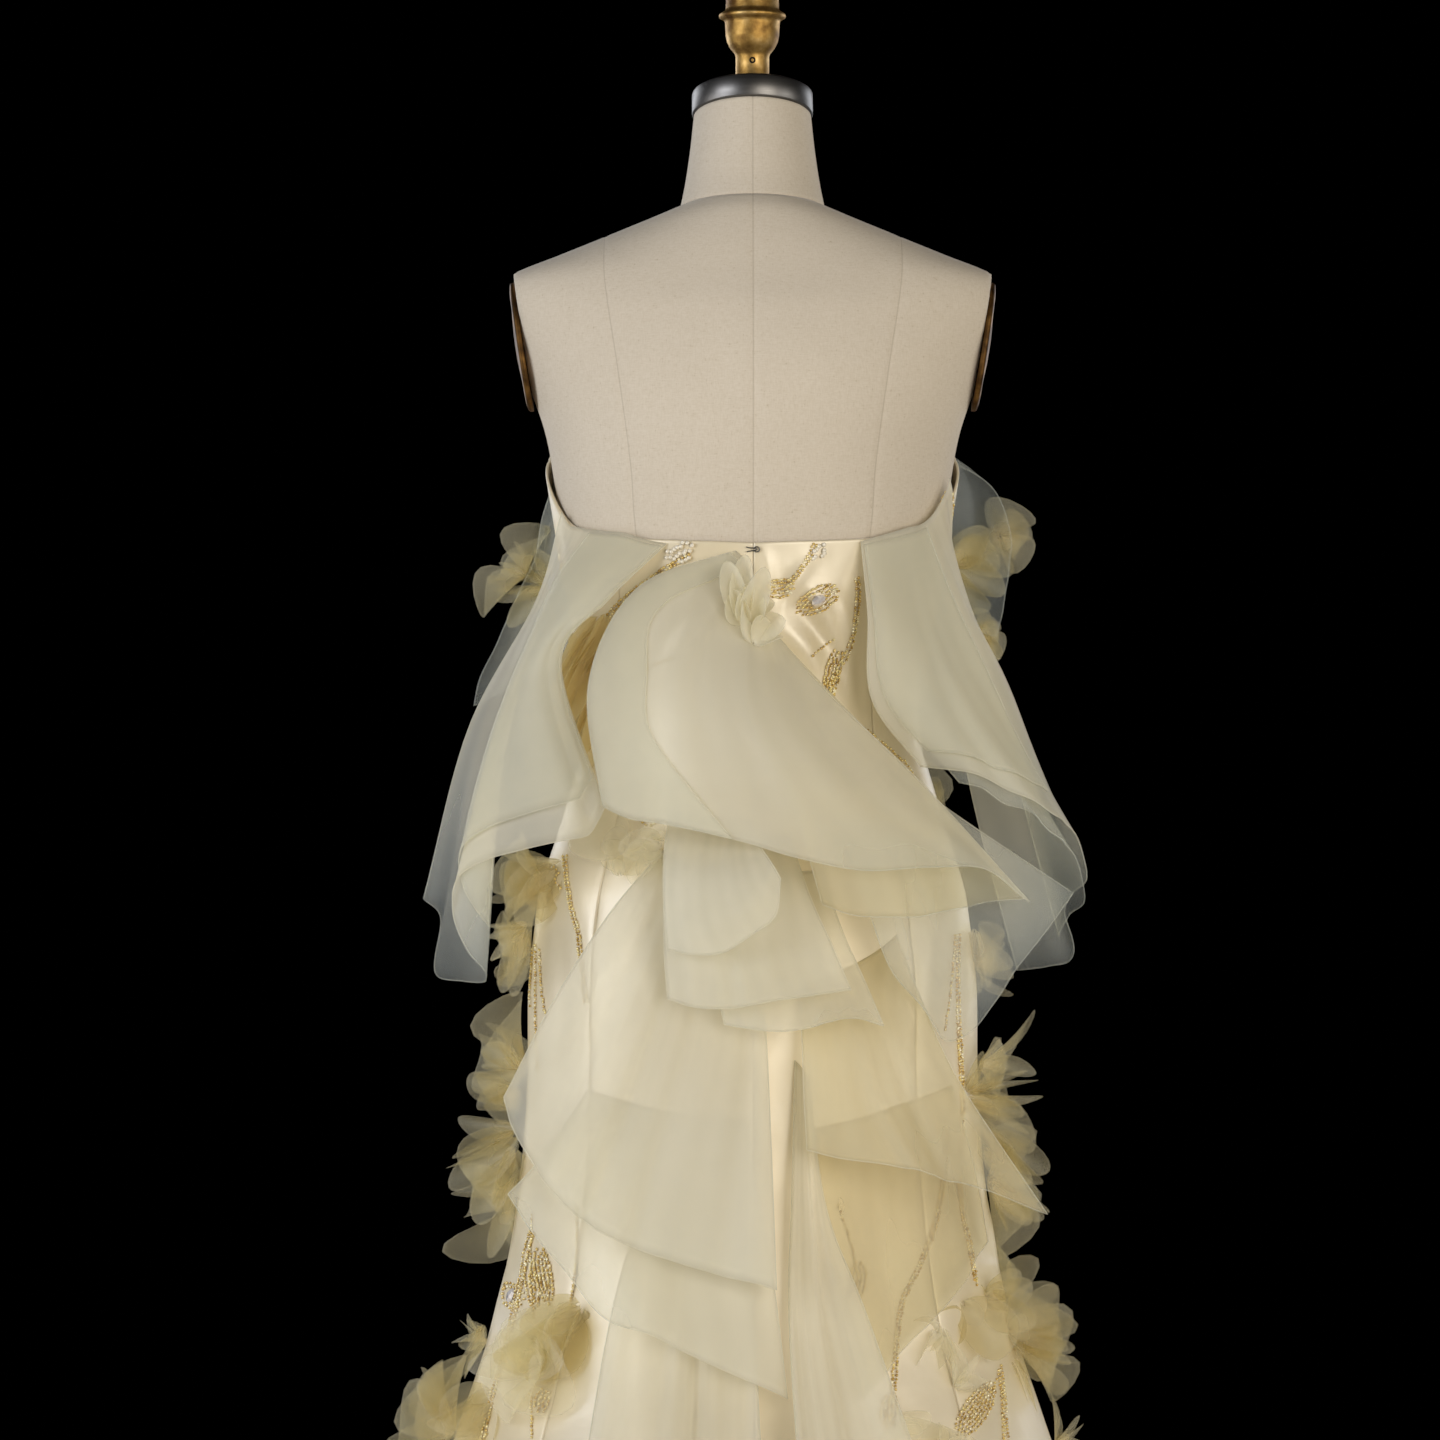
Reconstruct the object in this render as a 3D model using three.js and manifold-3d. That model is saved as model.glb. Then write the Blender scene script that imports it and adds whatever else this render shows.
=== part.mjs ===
// A strapless mermaid gown in duchesse satin, with an organza cascade down its back and organza
// flowers, worn by a limbless dress form on a pole stand.
// Millimetres, +Z up, Z = 0 on the floor. The gown's front faces -Y and its back +Y, and the origin
// is the middle of the stand's base.
import * as THREE from "three";
import { mergeVertices } from "three/addons/utils/BufferGeometryUtils.js";
import Module from "manifold-3d";

// ---- Driving dimensions ----
const SATIN = 2; // wall of the interlined satin
const ORGANZA = 1.2; // wall of an organza ruffle
const SEAM_GAP = 0.3; // between pieces that are sewn together
const EASE = 4; // between the form and the inside of the gown
const FORM_BOTTOM = 770;
const NECK_LINE = 1448; // where the neck rises from the shoulders
const NECK_FOOT_TILT = THREE.MathUtils.degToRad(8.5); // the neck leans forward
const NECK_TOP_TILT = THREE.MathUtils.degToRad(13);
const NECK_LENGTH = 78;
const NECK_TOP_RADIUS = 47;
const CAP_RADIUS = 48.5;
const CAP_HEIGHT = 19;
const POLE_RADIUS = 14;
const BASE_RADIUS = 170;
const BASE_HEIGHT = 10;
const FLARE_TOP = 560; // the skirt's flutes start below this height
const FLUTE_DEPTH = 0.075; // of the skirt's radius, at the hem
const FLUTES_PER_GORE = 2;

// Half width, front depth and back depth of the form at each height.
const FORM_SECTIONS = [
  { z: 770, half: 168, front: 104, back: 122 },
  { z: 830, half: 172, front: 108, back: 126 },
  { z: 900, half: 165, front: 108, back: 112 },
  { z: 965, half: 145, front: 99, back: 93 },
  { z: 1040, half: 127, front: 85, back: 80 },
  { z: 1100, half: 136, front: 92, back: 86 },
  { z: 1160, half: 147, front: 102, back: 94 },
  { z: 1220, half: 157, front: 110, back: 102 },
  { z: 1270, half: 166, front: 108, back: 106 },
  { z: 1320, half: 184, front: 92, back: 104 },
  { z: 1365, half: 201, front: 72, back: 95 },
  { z: 1384, half: 203, front: 60, back: 88 },
  { z: 1396, half: 192, front: 52, back: 83 },
  { z: 1410, half: 156, front: 46, back: 77 },
  { z: 1424, half: 119, front: 43, back: 70 },
  { z: 1438, half: 82, front: 43, back: 62 },
  { z: 1448, half: 58, front: 48, back: 52 },
];

// The same for the outside of the gown, below the waist.
const SKIRT_SECTIONS = [
  { z: 0, half: 490, front: 350, back: 640 },
  { z: 100, half: 428, front: 302, back: 528 },
  { z: 200, half: 368, front: 260, back: 432 },
  { z: 300, half: 312, front: 224, back: 346 },
  { z: 380, half: 272, front: 196, back: 282 },
  { z: 440, half: 246, front: 176, back: 240 },
  { z: 500, half: 226, front: 160, back: 206 },
  { z: 560, half: 207, front: 144, back: 180 },
  { z: 624, half: 193, front: 130, back: 162 },
  { z: 690, half: 184, front: 120, back: 150 },
  { z: 760, half: 180, front: 116, back: 142 },
  { z: 830, half: 179, front: 115, back: 134 },
  { z: 900, half: 171, front: 114, back: 118 },
];

// The bust of the form and the gown's cups: a soft mound on each side of the front.
const BUST = { x: 78, z: 1214, wide: 52, high: 58, out: 24 };

// Height of the gown's top edge, by angle from centre back.
const TOP_EDGE = [
  { deg: 0, z: 1178 },
  { deg: 45, z: 1184 },
  { deg: 68, z: 1196 },
  { deg: 90, z: 1236 },
  { deg: 118, z: 1266 },
  { deg: 146, z: 1290 },
  { deg: 168, z: 1281 },
  { deg: 180, z: 1268 },
];

// The gown is cut in seven gores from top edge to hem, by angle from centre back.
const GORES = [
  { name: "gown_back_left", from: 0, to: 45 },
  { name: "gown_side_back_left", from: 45, to: 100 },
  { name: "gown_side_front_left", from: 100, to: 158 },
  { name: "gown_front", from: 158, to: 202 },
  { name: "gown_side_front_right", from: 202, to: 260 },
  { name: "gown_side_back_right", from: 260, to: 315 },
  { name: "gown_back_right", from: 315, to: 360 },
];
const GORE_COLUMNS = 8;
const SKIRT_ROWS = [1010, 965, 900, 830, 760, 690, 620, 560, 490, 420, 350, 280, 200, 105, 4];
const BODICE_ROWS = 7;

// Each organza ruffle is a fan of ribs. A rib leaves the gown at angle deg and height z, and runs
// through the points a and b to the ruffle's free edge at tip. An under layer follows the ribs of
// the ruffle it is under.
const RUFFLES = [
  {
    name: "wing_left",
    ribs: [
      { deg: 25.6, z: 1178, a: [113, 112, 1133], b: [150, 106, 1085], tip: [116, 120, 972] },
      { deg: 29.8, z: 1180, a: [126, 108, 1133], b: [162, 110, 1077], tip: [127, 130, 952] },
      { deg: 34.4, z: 1183, a: [137, 104, 1134], b: [172, 108, 1066], tip: [151, 132, 946] },
      { deg: 39.3, z: 1187, a: [146, 98, 1134], b: [182, 104, 1056], tip: [181, 126, 939] },
      { deg: 44.2, z: 1188, a: [153, 92, 1134], b: [191, 98, 1046], tip: [209, 118, 931] },
      { deg: 48.8, z: 1189, a: [159, 86, 1132], b: [201, 92, 1034], tip: [231, 112, 916] },
      { deg: 52.4, z: 1190, a: [161, 80, 1132], b: [203, 92, 1020], tip: [233, 116, 889] },
      { deg: 55.8, z: 1191, a: [162, 76, 1131], b: [198, 90, 1013], tip: [222, 118, 860] },
      { deg: 59, z: 1192, a: [163, 70, 1132], b: [194, 84, 1017], tip: [205, 110, 838] },
      { deg: 61.8, z: 1193, a: [164, 62, 1135], b: [200, 70, 1023], tip: [230, 84, 836] },
      { deg: 65, z: 1194, a: [166, 52, 1138], b: [209, 54, 1028], tip: [250, 64, 842] },
      { deg: 67.4, z: 1198, a: [168, 42, 1138], b: [218, 38, 1032], tip: [247, 44, 883] },
      { deg: 69.6, z: 1205, a: [172, 30, 1135], b: [226, 22, 1034], tip: [262, 24, 898] },
    ],
  },
  {
    name: "wing_right",
    layer: 1,
    ribs: [
      { deg: -32.3, z: 1180, a: [-89, 112, 1122], b: [-92, 116, 1056], tip: [-130, 112, 1004] },
      { deg: -36.1, z: 1183, a: [-102, 110, 1118], b: [-112, 116, 1052], tip: [-149, 118, 1002] },
      { deg: -40.7, z: 1186, a: [-117, 104, 1114], b: [-136, 114, 1049], tip: [-173, 122, 998] },
      { deg: -45.3, z: 1189, a: [-132, 96, 1110], b: [-158, 108, 1046], tip: [-202, 122, 985] },
      { deg: -49.9, z: 1192, a: [-144, 88, 1107], b: [-178, 98, 1042], tip: [-232, 114, 966] },
      { deg: -54.6, z: 1194, a: [-154, 78, 1118], b: [-193, 86, 1046], tip: [-250, 96, 955] },
      { deg: -58.4, z: 1198, a: [-165, 64, 1132], b: [-204, 70, 1052], tip: [-262, 70, 917] },
      { deg: -61.9, z: 1204, a: [-168, 50, 1135], b: [-208, 52, 1052], tip: [-253, 48, 903] },
      { deg: -64.9, z: 1212, a: [-171, 36, 1135], b: [-204, 36, 1040], tip: [-247, 34, 885] },
      { deg: -66.9, z: 1219, a: [-168, 24, 1127], b: [-197, 22, 1024], tip: [-253, 20, 851] },
      { deg: -68.2, z: 1225, a: [-164, 10, 1120], b: [-186, 8, 1008], tip: [-237, 10, 844] },
      { deg: -68.7, z: 1232, a: [-158, -4, 1112], b: [-174, -6, 992], tip: [-213, -4, 840] },
    ],
  },
  { name: "wing_right_under", under: "wing_right", from: 1, to: 8, inward: 9, longer: 15 },
  {
    name: "loop_left",
    ribs: [
      { deg: 114, z: 1252, a: [156, -70, 1246], b: [158, -62, 1240], tip: [160, -52, 1234] },
      { deg: 111, z: 1226, a: [160, -68, 1218], b: [165, -60, 1210], tip: [170, -48, 1204] },
      { deg: 108, z: 1198, a: [166, -64, 1188], b: [172, -56, 1178], tip: [179, -46, 1170] },
      { deg: 106, z: 1168, a: [172, -62, 1156], b: [182, -54, 1144], tip: [192, -46, 1134] },
      { deg: 104, z: 1138, a: [180, -60, 1124], b: [194, -52, 1112], tip: [207, -46, 1100] },
      { deg: 102, z: 1110, a: [186, -60, 1096], b: [204, -54, 1084], tip: [221, -48, 1074] },
      { deg: 100, z: 1086, a: [184, -60, 1074], b: [205, -56, 1062], tip: [226, -52, 1052] },
    ],
  },
  {
    name: "loop_right",
    ribs: [
      { deg: -118, z: 1258, a: [-160, -78, 1260], b: [-164, -66, 1256], tip: [-168, -56, 1250] },
      { deg: -115, z: 1240, a: [-170, -76, 1244], b: [-180, -64, 1242], tip: [-190, -50, 1234] },
      { deg: -112, z: 1220, a: [-176, -72, 1222], b: [-190, -60, 1220], tip: [-203, -46, 1212] },
      { deg: -109, z: 1196, a: [-176, -68, 1196], b: [-192, -56, 1192], tip: [-208, -42, 1184] },
      { deg: -106, z: 1170, a: [-172, -64, 1168], b: [-190, -52, 1164], tip: [-208, -40, 1158] },
      { deg: -103, z: 1142, a: [-166, -60, 1138], b: [-184, -50, 1134], tip: [-203, -40, 1130] },
      { deg: -101, z: 1116, a: [-160, -58, 1112], b: [-178, -50, 1110], tip: [-197, -42, 1108] },
    ],
  },
  {
    name: "swirl",
    ribs: [
      { deg: 5, z: 1172, a: [88, 122, 1142], b: [125, 146, 1071], tip: [113, 150, 978] },
      { deg: 4.1, z: 1170, a: [88, 144, 1117], b: [99, 170, 1040], tip: [93, 166, 966] },
      { deg: 3.3, z: 1168, a: [66, 158, 1101], b: [70, 188, 1025], tip: [70, 180, 962] },
      { deg: 2.4, z: 1165, a: [45, 168, 1086], b: [39, 198, 1013], tip: [41, 192, 956] },
      { deg: 1.6, z: 1160, a: [26, 174, 1074], b: [9, 204, 1006], tip: [7, 200, 947] },
      { deg: 1, z: 1155, a: [8, 176, 1067], b: [-20, 206, 998], tip: [-35, 206, 935] },
      { deg: 0.4, z: 1148, a: [-8, 174, 1063], b: [-48, 204, 994], tip: [-83, 206, 926] },
      { deg: -0.2, z: 1141, a: [-24, 168, 1063], b: [-77, 196, 991], tip: [-133, 204, 928] },
      { deg: -0.8, z: 1134, a: [-39, 160, 1063], b: [-104, 184, 990], tip: [-176, 192, 927] },
      { deg: -1.4, z: 1124, a: [-55, 150, 1063], b: [-131, 165, 989], tip: [-211, 172, 900] },
    ],
  },
  {
    name: "swirl_under",
    ribs: [
      { deg: 1, z: 1103, a: [4, 150, 1040], b: [-28, 174, 979], tip: [-52, 180, 899] },
      { deg: -0.9, z: 1103, a: [-14, 150, 1036], b: [-50, 178, 973], tip: [-77, 186, 891] },
      { deg: -2.7, z: 1103, a: [-31, 147, 1036], b: [-73, 178, 971], tip: [-104, 190, 890] },
      { deg: -4.6, z: 1103, a: [-45, 142, 1038], b: [-95, 172, 971], tip: [-130, 188, 891] },
      { deg: -6.2, z: 1103, a: [-56, 136, 1043], b: [-114, 162, 974], tip: [-156, 182, 896] },
      { deg: -7.5, z: 1103, a: [-64, 128, 1048], b: [-128, 150, 978], tip: [-181, 170, 901] },
      { deg: -8.4, z: 1103, a: [-69, 120, 1051], b: [-136, 138, 982], tip: [-209, 156, 902] },
    ],
  },
  {
    name: "swirl_curl",
    ribs: [
      { deg: 25.7, z: 968, a: [69, 168, 936], b: [69, 188, 899], tip: [66, 192, 865] },
      { deg: 19.2, z: 967, a: [54, 178, 933], b: [50, 202, 892], tip: [45, 208, 862] },
      { deg: 13.5, z: 965, a: [37, 184, 933], b: [32, 212, 896], tip: [24, 216, 864] },
      { deg: 8.7, z: 964, a: [21, 186, 935], b: [12, 216, 904], tip: [3, 220, 877] },
      { deg: 4.5, z: 963, a: [8, 184, 939], b: [-3, 214, 916], tip: [-16, 218, 892] },
      { deg: 0.4, z: 962, a: [-5, 180, 944], b: [-13, 206, 932], tip: [-20, 212, 920] },
    ],
  },
  {
    name: "centre_ruffle",
    ribs: [
      { deg: 25.6, z: 954, a: [69, 156, 909], b: [69, 176, 868], tip: [66, 182, 827] },
      { deg: 18.7, z: 954, a: [47, 164, 910], b: [45, 188, 865], tip: [41, 196, 821] },
      { deg: 11.1, z: 953, a: [24, 168, 908], b: [18, 194, 863], tip: [11, 204, 822] },
      { deg: 3.8, z: 951, a: [1, 170, 906], b: [-8, 196, 863], tip: [-20, 208, 828] },
      { deg: -3.3, z: 950, a: [-22, 168, 905], b: [-33, 192, 865], tip: [-46, 204, 831] },
      { deg: -10.5, z: 948, a: [-43, 162, 905], b: [-59, 184, 868], tip: [-73, 194, 834] },
    ],
  },
  {
    name: "centre_ruffle_under",
    ribs: [
      { deg: 14.8, z: 926, a: [35, 158, 879], b: [29, 176, 837], tip: [23, 184, 808] },
      { deg: 7.8, z: 925, a: [14, 160, 877], b: [7, 180, 835], tip: [-1, 190, 804] },
      { deg: 0.9, z: 923, a: [-6, 160, 876], b: [-15, 181, 834], tip: [-24, 192, 803] },
      { deg: -5.9, z: 922, a: [-28, 158, 876], b: [-40, 179, 835], tip: [-52, 190, 808] },
      { deg: -12.7, z: 922, a: [-49, 154, 875], b: [-64, 174, 838], tip: [-75, 185, 813] },
      { deg: -19, z: 923, a: [-68, 148, 878], b: [-84, 166, 842], tip: [-99, 177, 806] },
    ],
  },
  {
    name: "tier_left",
    ribs: [
      { deg: 26, z: 938, a: [111, 140, 891], b: [153, 158, 825], tip: [191, 150, 749] },
      { deg: 23.3, z: 934, a: [97, 144, 882], b: [139, 172, 803], tip: [185, 168, 727] },
      { deg: 19.5, z: 929, a: [82, 144, 870], b: [118, 182, 788], tip: [163, 190, 693] },
      { deg: 15.3, z: 925, a: [63, 144, 859], b: [93, 187, 769], tip: [131, 206, 661] },
      { deg: 11.2, z: 916, a: [43, 146, 843], b: [66, 190, 754], tip: [93, 218, 642] },
      { deg: 7.3, z: 909, a: [24, 147, 832], b: [40, 194, 739], tip: [56, 226, 630] },
      { deg: 3.5, z: 906, a: [8, 147, 824], b: [14, 196, 728], tip: [22, 230, 621] },
      { deg: 0.4, z: 905, a: [-8, 146, 813], b: [-12, 190, 716], tip: [-16, 226, 609] },
    ],
  },
  {
    name: "tier_left_under",
    ribs: [
      { deg: 45.6, z: 751, a: [148, 152, 724], b: [167, 162, 698], tip: [187, 162, 675] },
      { deg: 39.4, z: 748, a: [129, 162, 714], b: [148, 174, 680], tip: [169, 180, 648] },
      { deg: 33.1, z: 744, a: [110, 168, 703], b: [127, 184, 662], tip: [143, 196, 620] },
      { deg: 26.8, z: 740, a: [89, 172, 695], b: [101, 191, 648], tip: [114, 210, 587] },
      { deg: 20.4, z: 737, a: [67, 173, 688], b: [72, 194, 635], tip: [75, 220, 573] },
      { deg: 13.7, z: 734, a: [45, 173, 683], b: [43, 196, 628], tip: [38, 230, 557] },
      { deg: 7.3, z: 733, a: [20, 172, 680], b: [12, 196, 622], tip: [2, 234, 541] },
      { deg: 1.9, z: 732, a: [-2, 169, 680], b: [-14, 190, 621], tip: [-26, 230, 529] },
    ],
  },
  {
    name: "tier_right",
    ribs: [
      { deg: -11.6, z: 835, a: [-37, 160, 794], b: [-38, 176, 753], tip: [-40, 184, 712] },
      { deg: -16.3, z: 839, a: [-55, 162, 794], b: [-60, 182, 750], tip: [-67, 192, 706] },
      { deg: -21.7, z: 845, a: [-74, 162, 798], b: [-82, 182, 750], tip: [-108, 196, 701] },
      { deg: -27.4, z: 852, a: [-94, 156, 802], b: [-112, 178, 750], tip: [-141, 196, 692] },
      { deg: -33.6, z: 861, a: [-113, 148, 807], b: [-139, 170, 753], tip: [-176, 190, 682] },
      { deg: -39.8, z: 872, a: [-130, 134, 824], b: [-160, 158, 760], tip: [-225, 180, 663] },
    ],
  },
  {
    name: "tier_right_under",
    ribs: [
      { deg: -15.1, z: 725, a: [-52, 157, 660], b: [-64, 171, 592], tip: [-82, 192, 522] },
      { deg: -21.5, z: 729, a: [-76, 149, 666], b: [-88, 160, 602], tip: [-99, 178, 538] },
      { deg: -28.4, z: 733, a: [-98, 137, 677], b: [-109, 146, 618], tip: [-118, 158, 560] },
      { deg: -35.8, z: 739, a: [-118, 124, 687], b: [-130, 129, 633], tip: [-140, 138, 578] },
      { deg: -44.1, z: 744, a: [-139, 107, 697], b: [-150, 109, 649], tip: [-159, 115, 597] },
      { deg: -51.5, z: 749, a: [-155, 90, 707], b: [-165, 90, 661], tip: [-173, 92, 616] },
      { deg: -59, z: 753, a: [-167, 73, 715], b: [-177, 69, 674], tip: [-185, 67, 630] },
    ],
  },
  {
    name: "veil_right",
    ribs: [
      { deg: -51.8, z: 1001, a: [-152, 130, 970], b: [-198, 134, 939], tip: [-248, 126, 906] },
      { deg: -47.9, z: 989, a: [-144, 132, 951], b: [-186, 138, 913], tip: [-228, 130, 879] },
      { deg: -44, z: 977, a: [-135, 134, 936], b: [-171, 140, 889], tip: [-206, 130, 850] },
      { deg: -39.7, z: 965, a: [-125, 136, 920], b: [-151, 142, 866], tip: [-187, 134, 824] },
      { deg: -35, z: 955, a: [-113, 138, 909], b: [-136, 144, 851], tip: [-169, 134, 800] },
      { deg: -30.8, z: 946, a: [-101, 140, 901], b: [-119, 146, 847], tip: [-148, 142, 793] },
      { deg: -27.1, z: 938, a: [-88, 142, 895], b: [-105, 150, 848], tip: [-129, 152, 817] },
    ],
  },
  {
    name: "train_left",
    ribs: [
      { deg: 27.8, z: 658, a: [102, 175, 615], b: [114, 196, 561], tip: [134, 300, 448] },
      { deg: 22.4, z: 651, a: [83, 178, 608], b: [91, 204, 547], tip: [105, 338, 432] },
      { deg: 16.9, z: 647, a: [61, 181, 601], b: [65, 209, 541], tip: [74, 350, 425] },
      { deg: 11.6, z: 642, a: [40, 182, 597], b: [41, 211, 537], tip: [45, 360, 424] },
      { deg: 6.4, z: 640, a: [20, 181, 593], b: [18, 208, 538], tip: [17, 350, 430] },
      { deg: 1.3, z: 637, a: [2, 179, 593], b: [-2, 202, 545], tip: [-5, 320, 444] },
    ],
  },
  {
    name: "train_right",
    ribs: [
      { deg: -10.2, z: 777, a: [-29, 172, 673], b: [-27, 198, 576], tip: [-37, 345, 426] },
      { deg: -11.2, z: 774, a: [-35, 176, 669], b: [-38, 205, 569], tip: [-58, 360, 420] },
      { deg: -12, z: 771, a: [-43, 178, 665], b: [-53, 207, 566], tip: [-82, 358, 418] },
      { deg: -12.7, z: 768, a: [-49, 176, 664], b: [-69, 203, 565], tip: [-107, 343, 424] },
      { deg: -13.5, z: 765, a: [-55, 172, 668], b: [-85, 192, 589], tip: [-131, 304, 463] },
    ],
  },
];
const RUFFLE_STEPS = 2; // columns between two ribs
const RUFFLE_ROWS = 5; // from root to free edge

// Each flower is sewn to the gown at angle deg and height z, or on a ruffle. size is its width, open
// how flat it lies, and close how much nearer than the others it is sewn down.
const FLOWERS = [
  { on: "swirl", s: 0.62, row: 1, size: 50, open: 0.7, spin: 10 },
  { on: "loop_left", s: 0.4, row: 5, size: 72, open: 0.35, spin: 0 },
  { deg: 62, z: 1082, size: 76, open: 0.5, spin: 30 },
  { deg: 38, z: 938, size: 74, open: 0.7, spin: 35 },
  { deg: 76, z: 908, size: 86, open: 0.5, spin: 15 },
  { deg: 90, z: 856, size: 72, open: 0.5, spin: 40, close: 0.5 },
  { deg: 92, z: 764, size: 98, open: 0.35, spin: 5 },
  { deg: 92, z: 660, size: 114, open: 0.4, spin: 20 },
  { deg: 97, z: 540, size: 66, open: 0.45, spin: 50 },
  { deg: 84, z: 474, size: 102, open: 0.45, spin: 12 },
  { deg: 50, z: 540, size: 92, open: 0.8, spin: 25 },
  { deg: 78, z: 388, size: 84, open: 0.5, spin: 42 },
  { on: "loop_right", s: 0.5, row: 4, size: 66, open: 0.4, spin: 8 },
  { on: "loop_right", s: 1, row: 4, size: 50, open: 0.5, spin: 20 },
  { deg: -84, z: 846, size: 62, open: 0.6, spin: 45, close: 0.4 },
  { deg: -91, z: 764, size: 114, open: 0.25, spin: 0 },
  { deg: -89, z: 670, size: 98, open: 0.45, spin: 28 },
  { deg: -74, z: 558, size: 102, open: 0.65, spin: 16, close: 0.5 },
  { deg: -94, z: 534, size: 86, open: 0.4, spin: 32 },
  { deg: -45, z: 524, size: 62, open: 0.8, spin: 6 },
  { deg: -88, z: 462, size: 66, open: 0.35, spin: 48 },
  { deg: -37, z: 468, size: 58, open: 0.7, spin: 18 },
  { deg: -76, z: 384, size: 88, open: 0.5, spin: 38 },
  { deg: 130, z: 1090, size: 70, open: 0.5, spin: 14 },
  { deg: -128, z: 960, size: 84, open: 0.6, spin: 36 },
  { deg: 126, z: 640, size: 88, open: 0.6, spin: 22 },
  { deg: -124, z: 590, size: 84, open: 0.6, spin: 4 },
];
const PETALS = 5;
const PETAL_STEPS = 3;
const PETAL_THICKNESS = 1.2;

// The finial above the neck cap, as radius and height over the cap.
const FINIAL_PROFILE = [
  { r: 17, h: 0 },
  { r: 17, h: 3 },
  { r: 13.5, h: 5 },
  { r: 13.5, h: 22 },
  { r: 18, h: 28 },
  { r: 21.5, h: 38 },
  { r: 22, h: 48 },
  { r: 24, h: 51 },
  { r: 27, h: 54 },
  { r: 24, h: 57 },
  { r: 21.5, h: 60 },
  { r: 21, h: 70 },
  { r: 17, h: 84 },
  { r: 9, h: 94 },
];
const FINIAL_SCREW = { radius: 2.8, height: 15, depth: 8 };

// ---- Curves through the tables ----

// A smooth value of column key at place on axis, through the rows of a table.
function along(table, axis, place, key) {
  const last = table.length - 1;
  const up = table[last][axis] > table[0][axis];
  let i = 0;
  while (i < last - 1 && (up ? place > table[i + 1][axis] : place < table[i + 1][axis])) i++;
  const slope = (k) => {
    const a = table[Math.max(k - 1, 0)];
    const b = table[Math.min(k + 1, last)];
    return (b[key] - a[key]) / (b[axis] - a[axis]);
  };
  const [p, q] = [table[i], table[i + 1]];
  const span = q[axis] - p[axis];
  const t = THREE.MathUtils.clamp((place - p[axis]) / span, 0, 1);
  const ease = t * t * (3 - 2 * t);
  return (
    p[key] * (1 - ease) +
    q[key] * ease +
    span * t * (1 - t) * ((1 - t) * slope(i) - t * slope(i + 1))
  );
}

const degrees = (angle) => THREE.MathUtils.radToDeg(Math.atan2(Math.sin(angle), Math.cos(angle)));
const topEdge = (angle) => along(TOP_EDGE, "deg", Math.abs(degrees(angle)), "z");

// A point at an angle from centre back on a ring with its own front and back depth. The bust adds
// its mound to the front.
function ringPoint({ half, front, back }, angle, z) {
  const x = half * Math.sin(angle);
  const c = Math.cos(angle);
  let y = c > 0 ? back * c : front * c;
  if (c < 0) {
    const mound = (side) =>
      Math.exp(-(((x - side * BUST.x) / BUST.wide) ** 2) - ((z - BUST.z) / BUST.high) ** 2);
    y -= BUST.out * (mound(1) + mound(-1)) * Math.min(1, -2 * c);
  }
  return new THREE.Vector3(x, y, z);
}

const sectionOf = (table, z) => ({
  half: along(table, "z", z, "half"),
  front: along(table, "z", z, "front"),
  back: along(table, "z", z, "back"),
});
const formPoint = (angle, z) => ringPoint(sectionOf(FORM_SECTIONS, z), angle, z);

// The outside of the gown: the form's section let out by the ease and the cloth down to the hip,
// then the skirt's own sections, with flutes that grow towards the hem.
function gownPoint(angle, z, flute = 0) {
  const hip = SKIRT_SECTIONS[SKIRT_SECTIONS.length - 1].z;
  const out = EASE + SATIN;
  let section;
  if (z >= hip) {
    const form = sectionOf(FORM_SECTIONS, z);
    section = { half: form.half + out, front: form.front + out, back: form.back + out };
  } else section = sectionOf(SKIRT_SECTIONS, z);
  const grow = 1 + FLUTE_DEPTH * flute * (Math.max(0, FLARE_TOP - z) / FLARE_TOP) ** 1.3;
  const p = ringPoint(section, angle, z);
  return p.set(p.x * grow, p.y * grow, z);
}

// How far a gore stands out at a share of its width: nothing at its seams, full on each flute.
const fluteAt = (share) => (1 - Math.cos(2 * Math.PI * FLUTES_PER_GORE * share)) / 2;
function gownAt(deg, z) {
  const turn = THREE.MathUtils.euclideanModulo(deg, 360);
  const gore = GORES.find((g) => turn >= g.from && turn <= g.to);
  const share = (turn - gore.from) / (gore.to - gore.from);
  return gownPoint(THREE.MathUtils.degToRad(deg), z, fluteAt(share));
}

// The direction out of the gown there.
function gownNormal(deg, z) {
  const beside = gownAt(deg + 0.5, z).sub(gownAt(deg - 0.5, z));
  const above = gownAt(deg, z + 4).sub(gownAt(deg, z - 4));
  const out = above.cross(beside).normalize();
  return out.x * Math.sin(THREE.MathUtils.degToRad(deg)) +
    out.y * Math.cos(THREE.MathUtils.degToRad(deg)) <
    0
    ? out.negate()
    : out;
}

// A point pushed straight out from the axis until it stands gap clear of the gown.
function clearOfGown(p, gap) {
  const z = Math.max(p.z, 4);
  const flat = Math.hypot(p.x, p.y);
  let deg = THREE.MathUtils.radToDeg(Math.atan2(p.x, p.y));
  for (let k = 0; k < 8; k++) {
    const q = gownAt(deg, z);
    deg += THREE.MathUtils.radToDeg(Math.atan2(p.x, p.y) - Math.atan2(q.x, q.y));
  }
  const least = Math.hypot(gownAt(deg, z).x, gownAt(deg, z).y) + gap;
  return flat < least ? new THREE.Vector3((p.x / flat) * least, (p.y / flat) * least, p.z) : p;
}

// ---- Solids ----

function geometryOf(points, triangles) {
  let volume = 0;
  for (const [a, b, c] of triangles) volume += points[a].dot(points[b].clone().cross(points[c]));
  const facing = volume < 0 ? triangles.map(([a, b, c]) => [a, c, b]) : triangles;
  const geometry = new THREE.BufferGeometry();
  geometry.setFromPoints(points);
  geometry.setIndex(facing.flat());
  return geometry;
}

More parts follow.
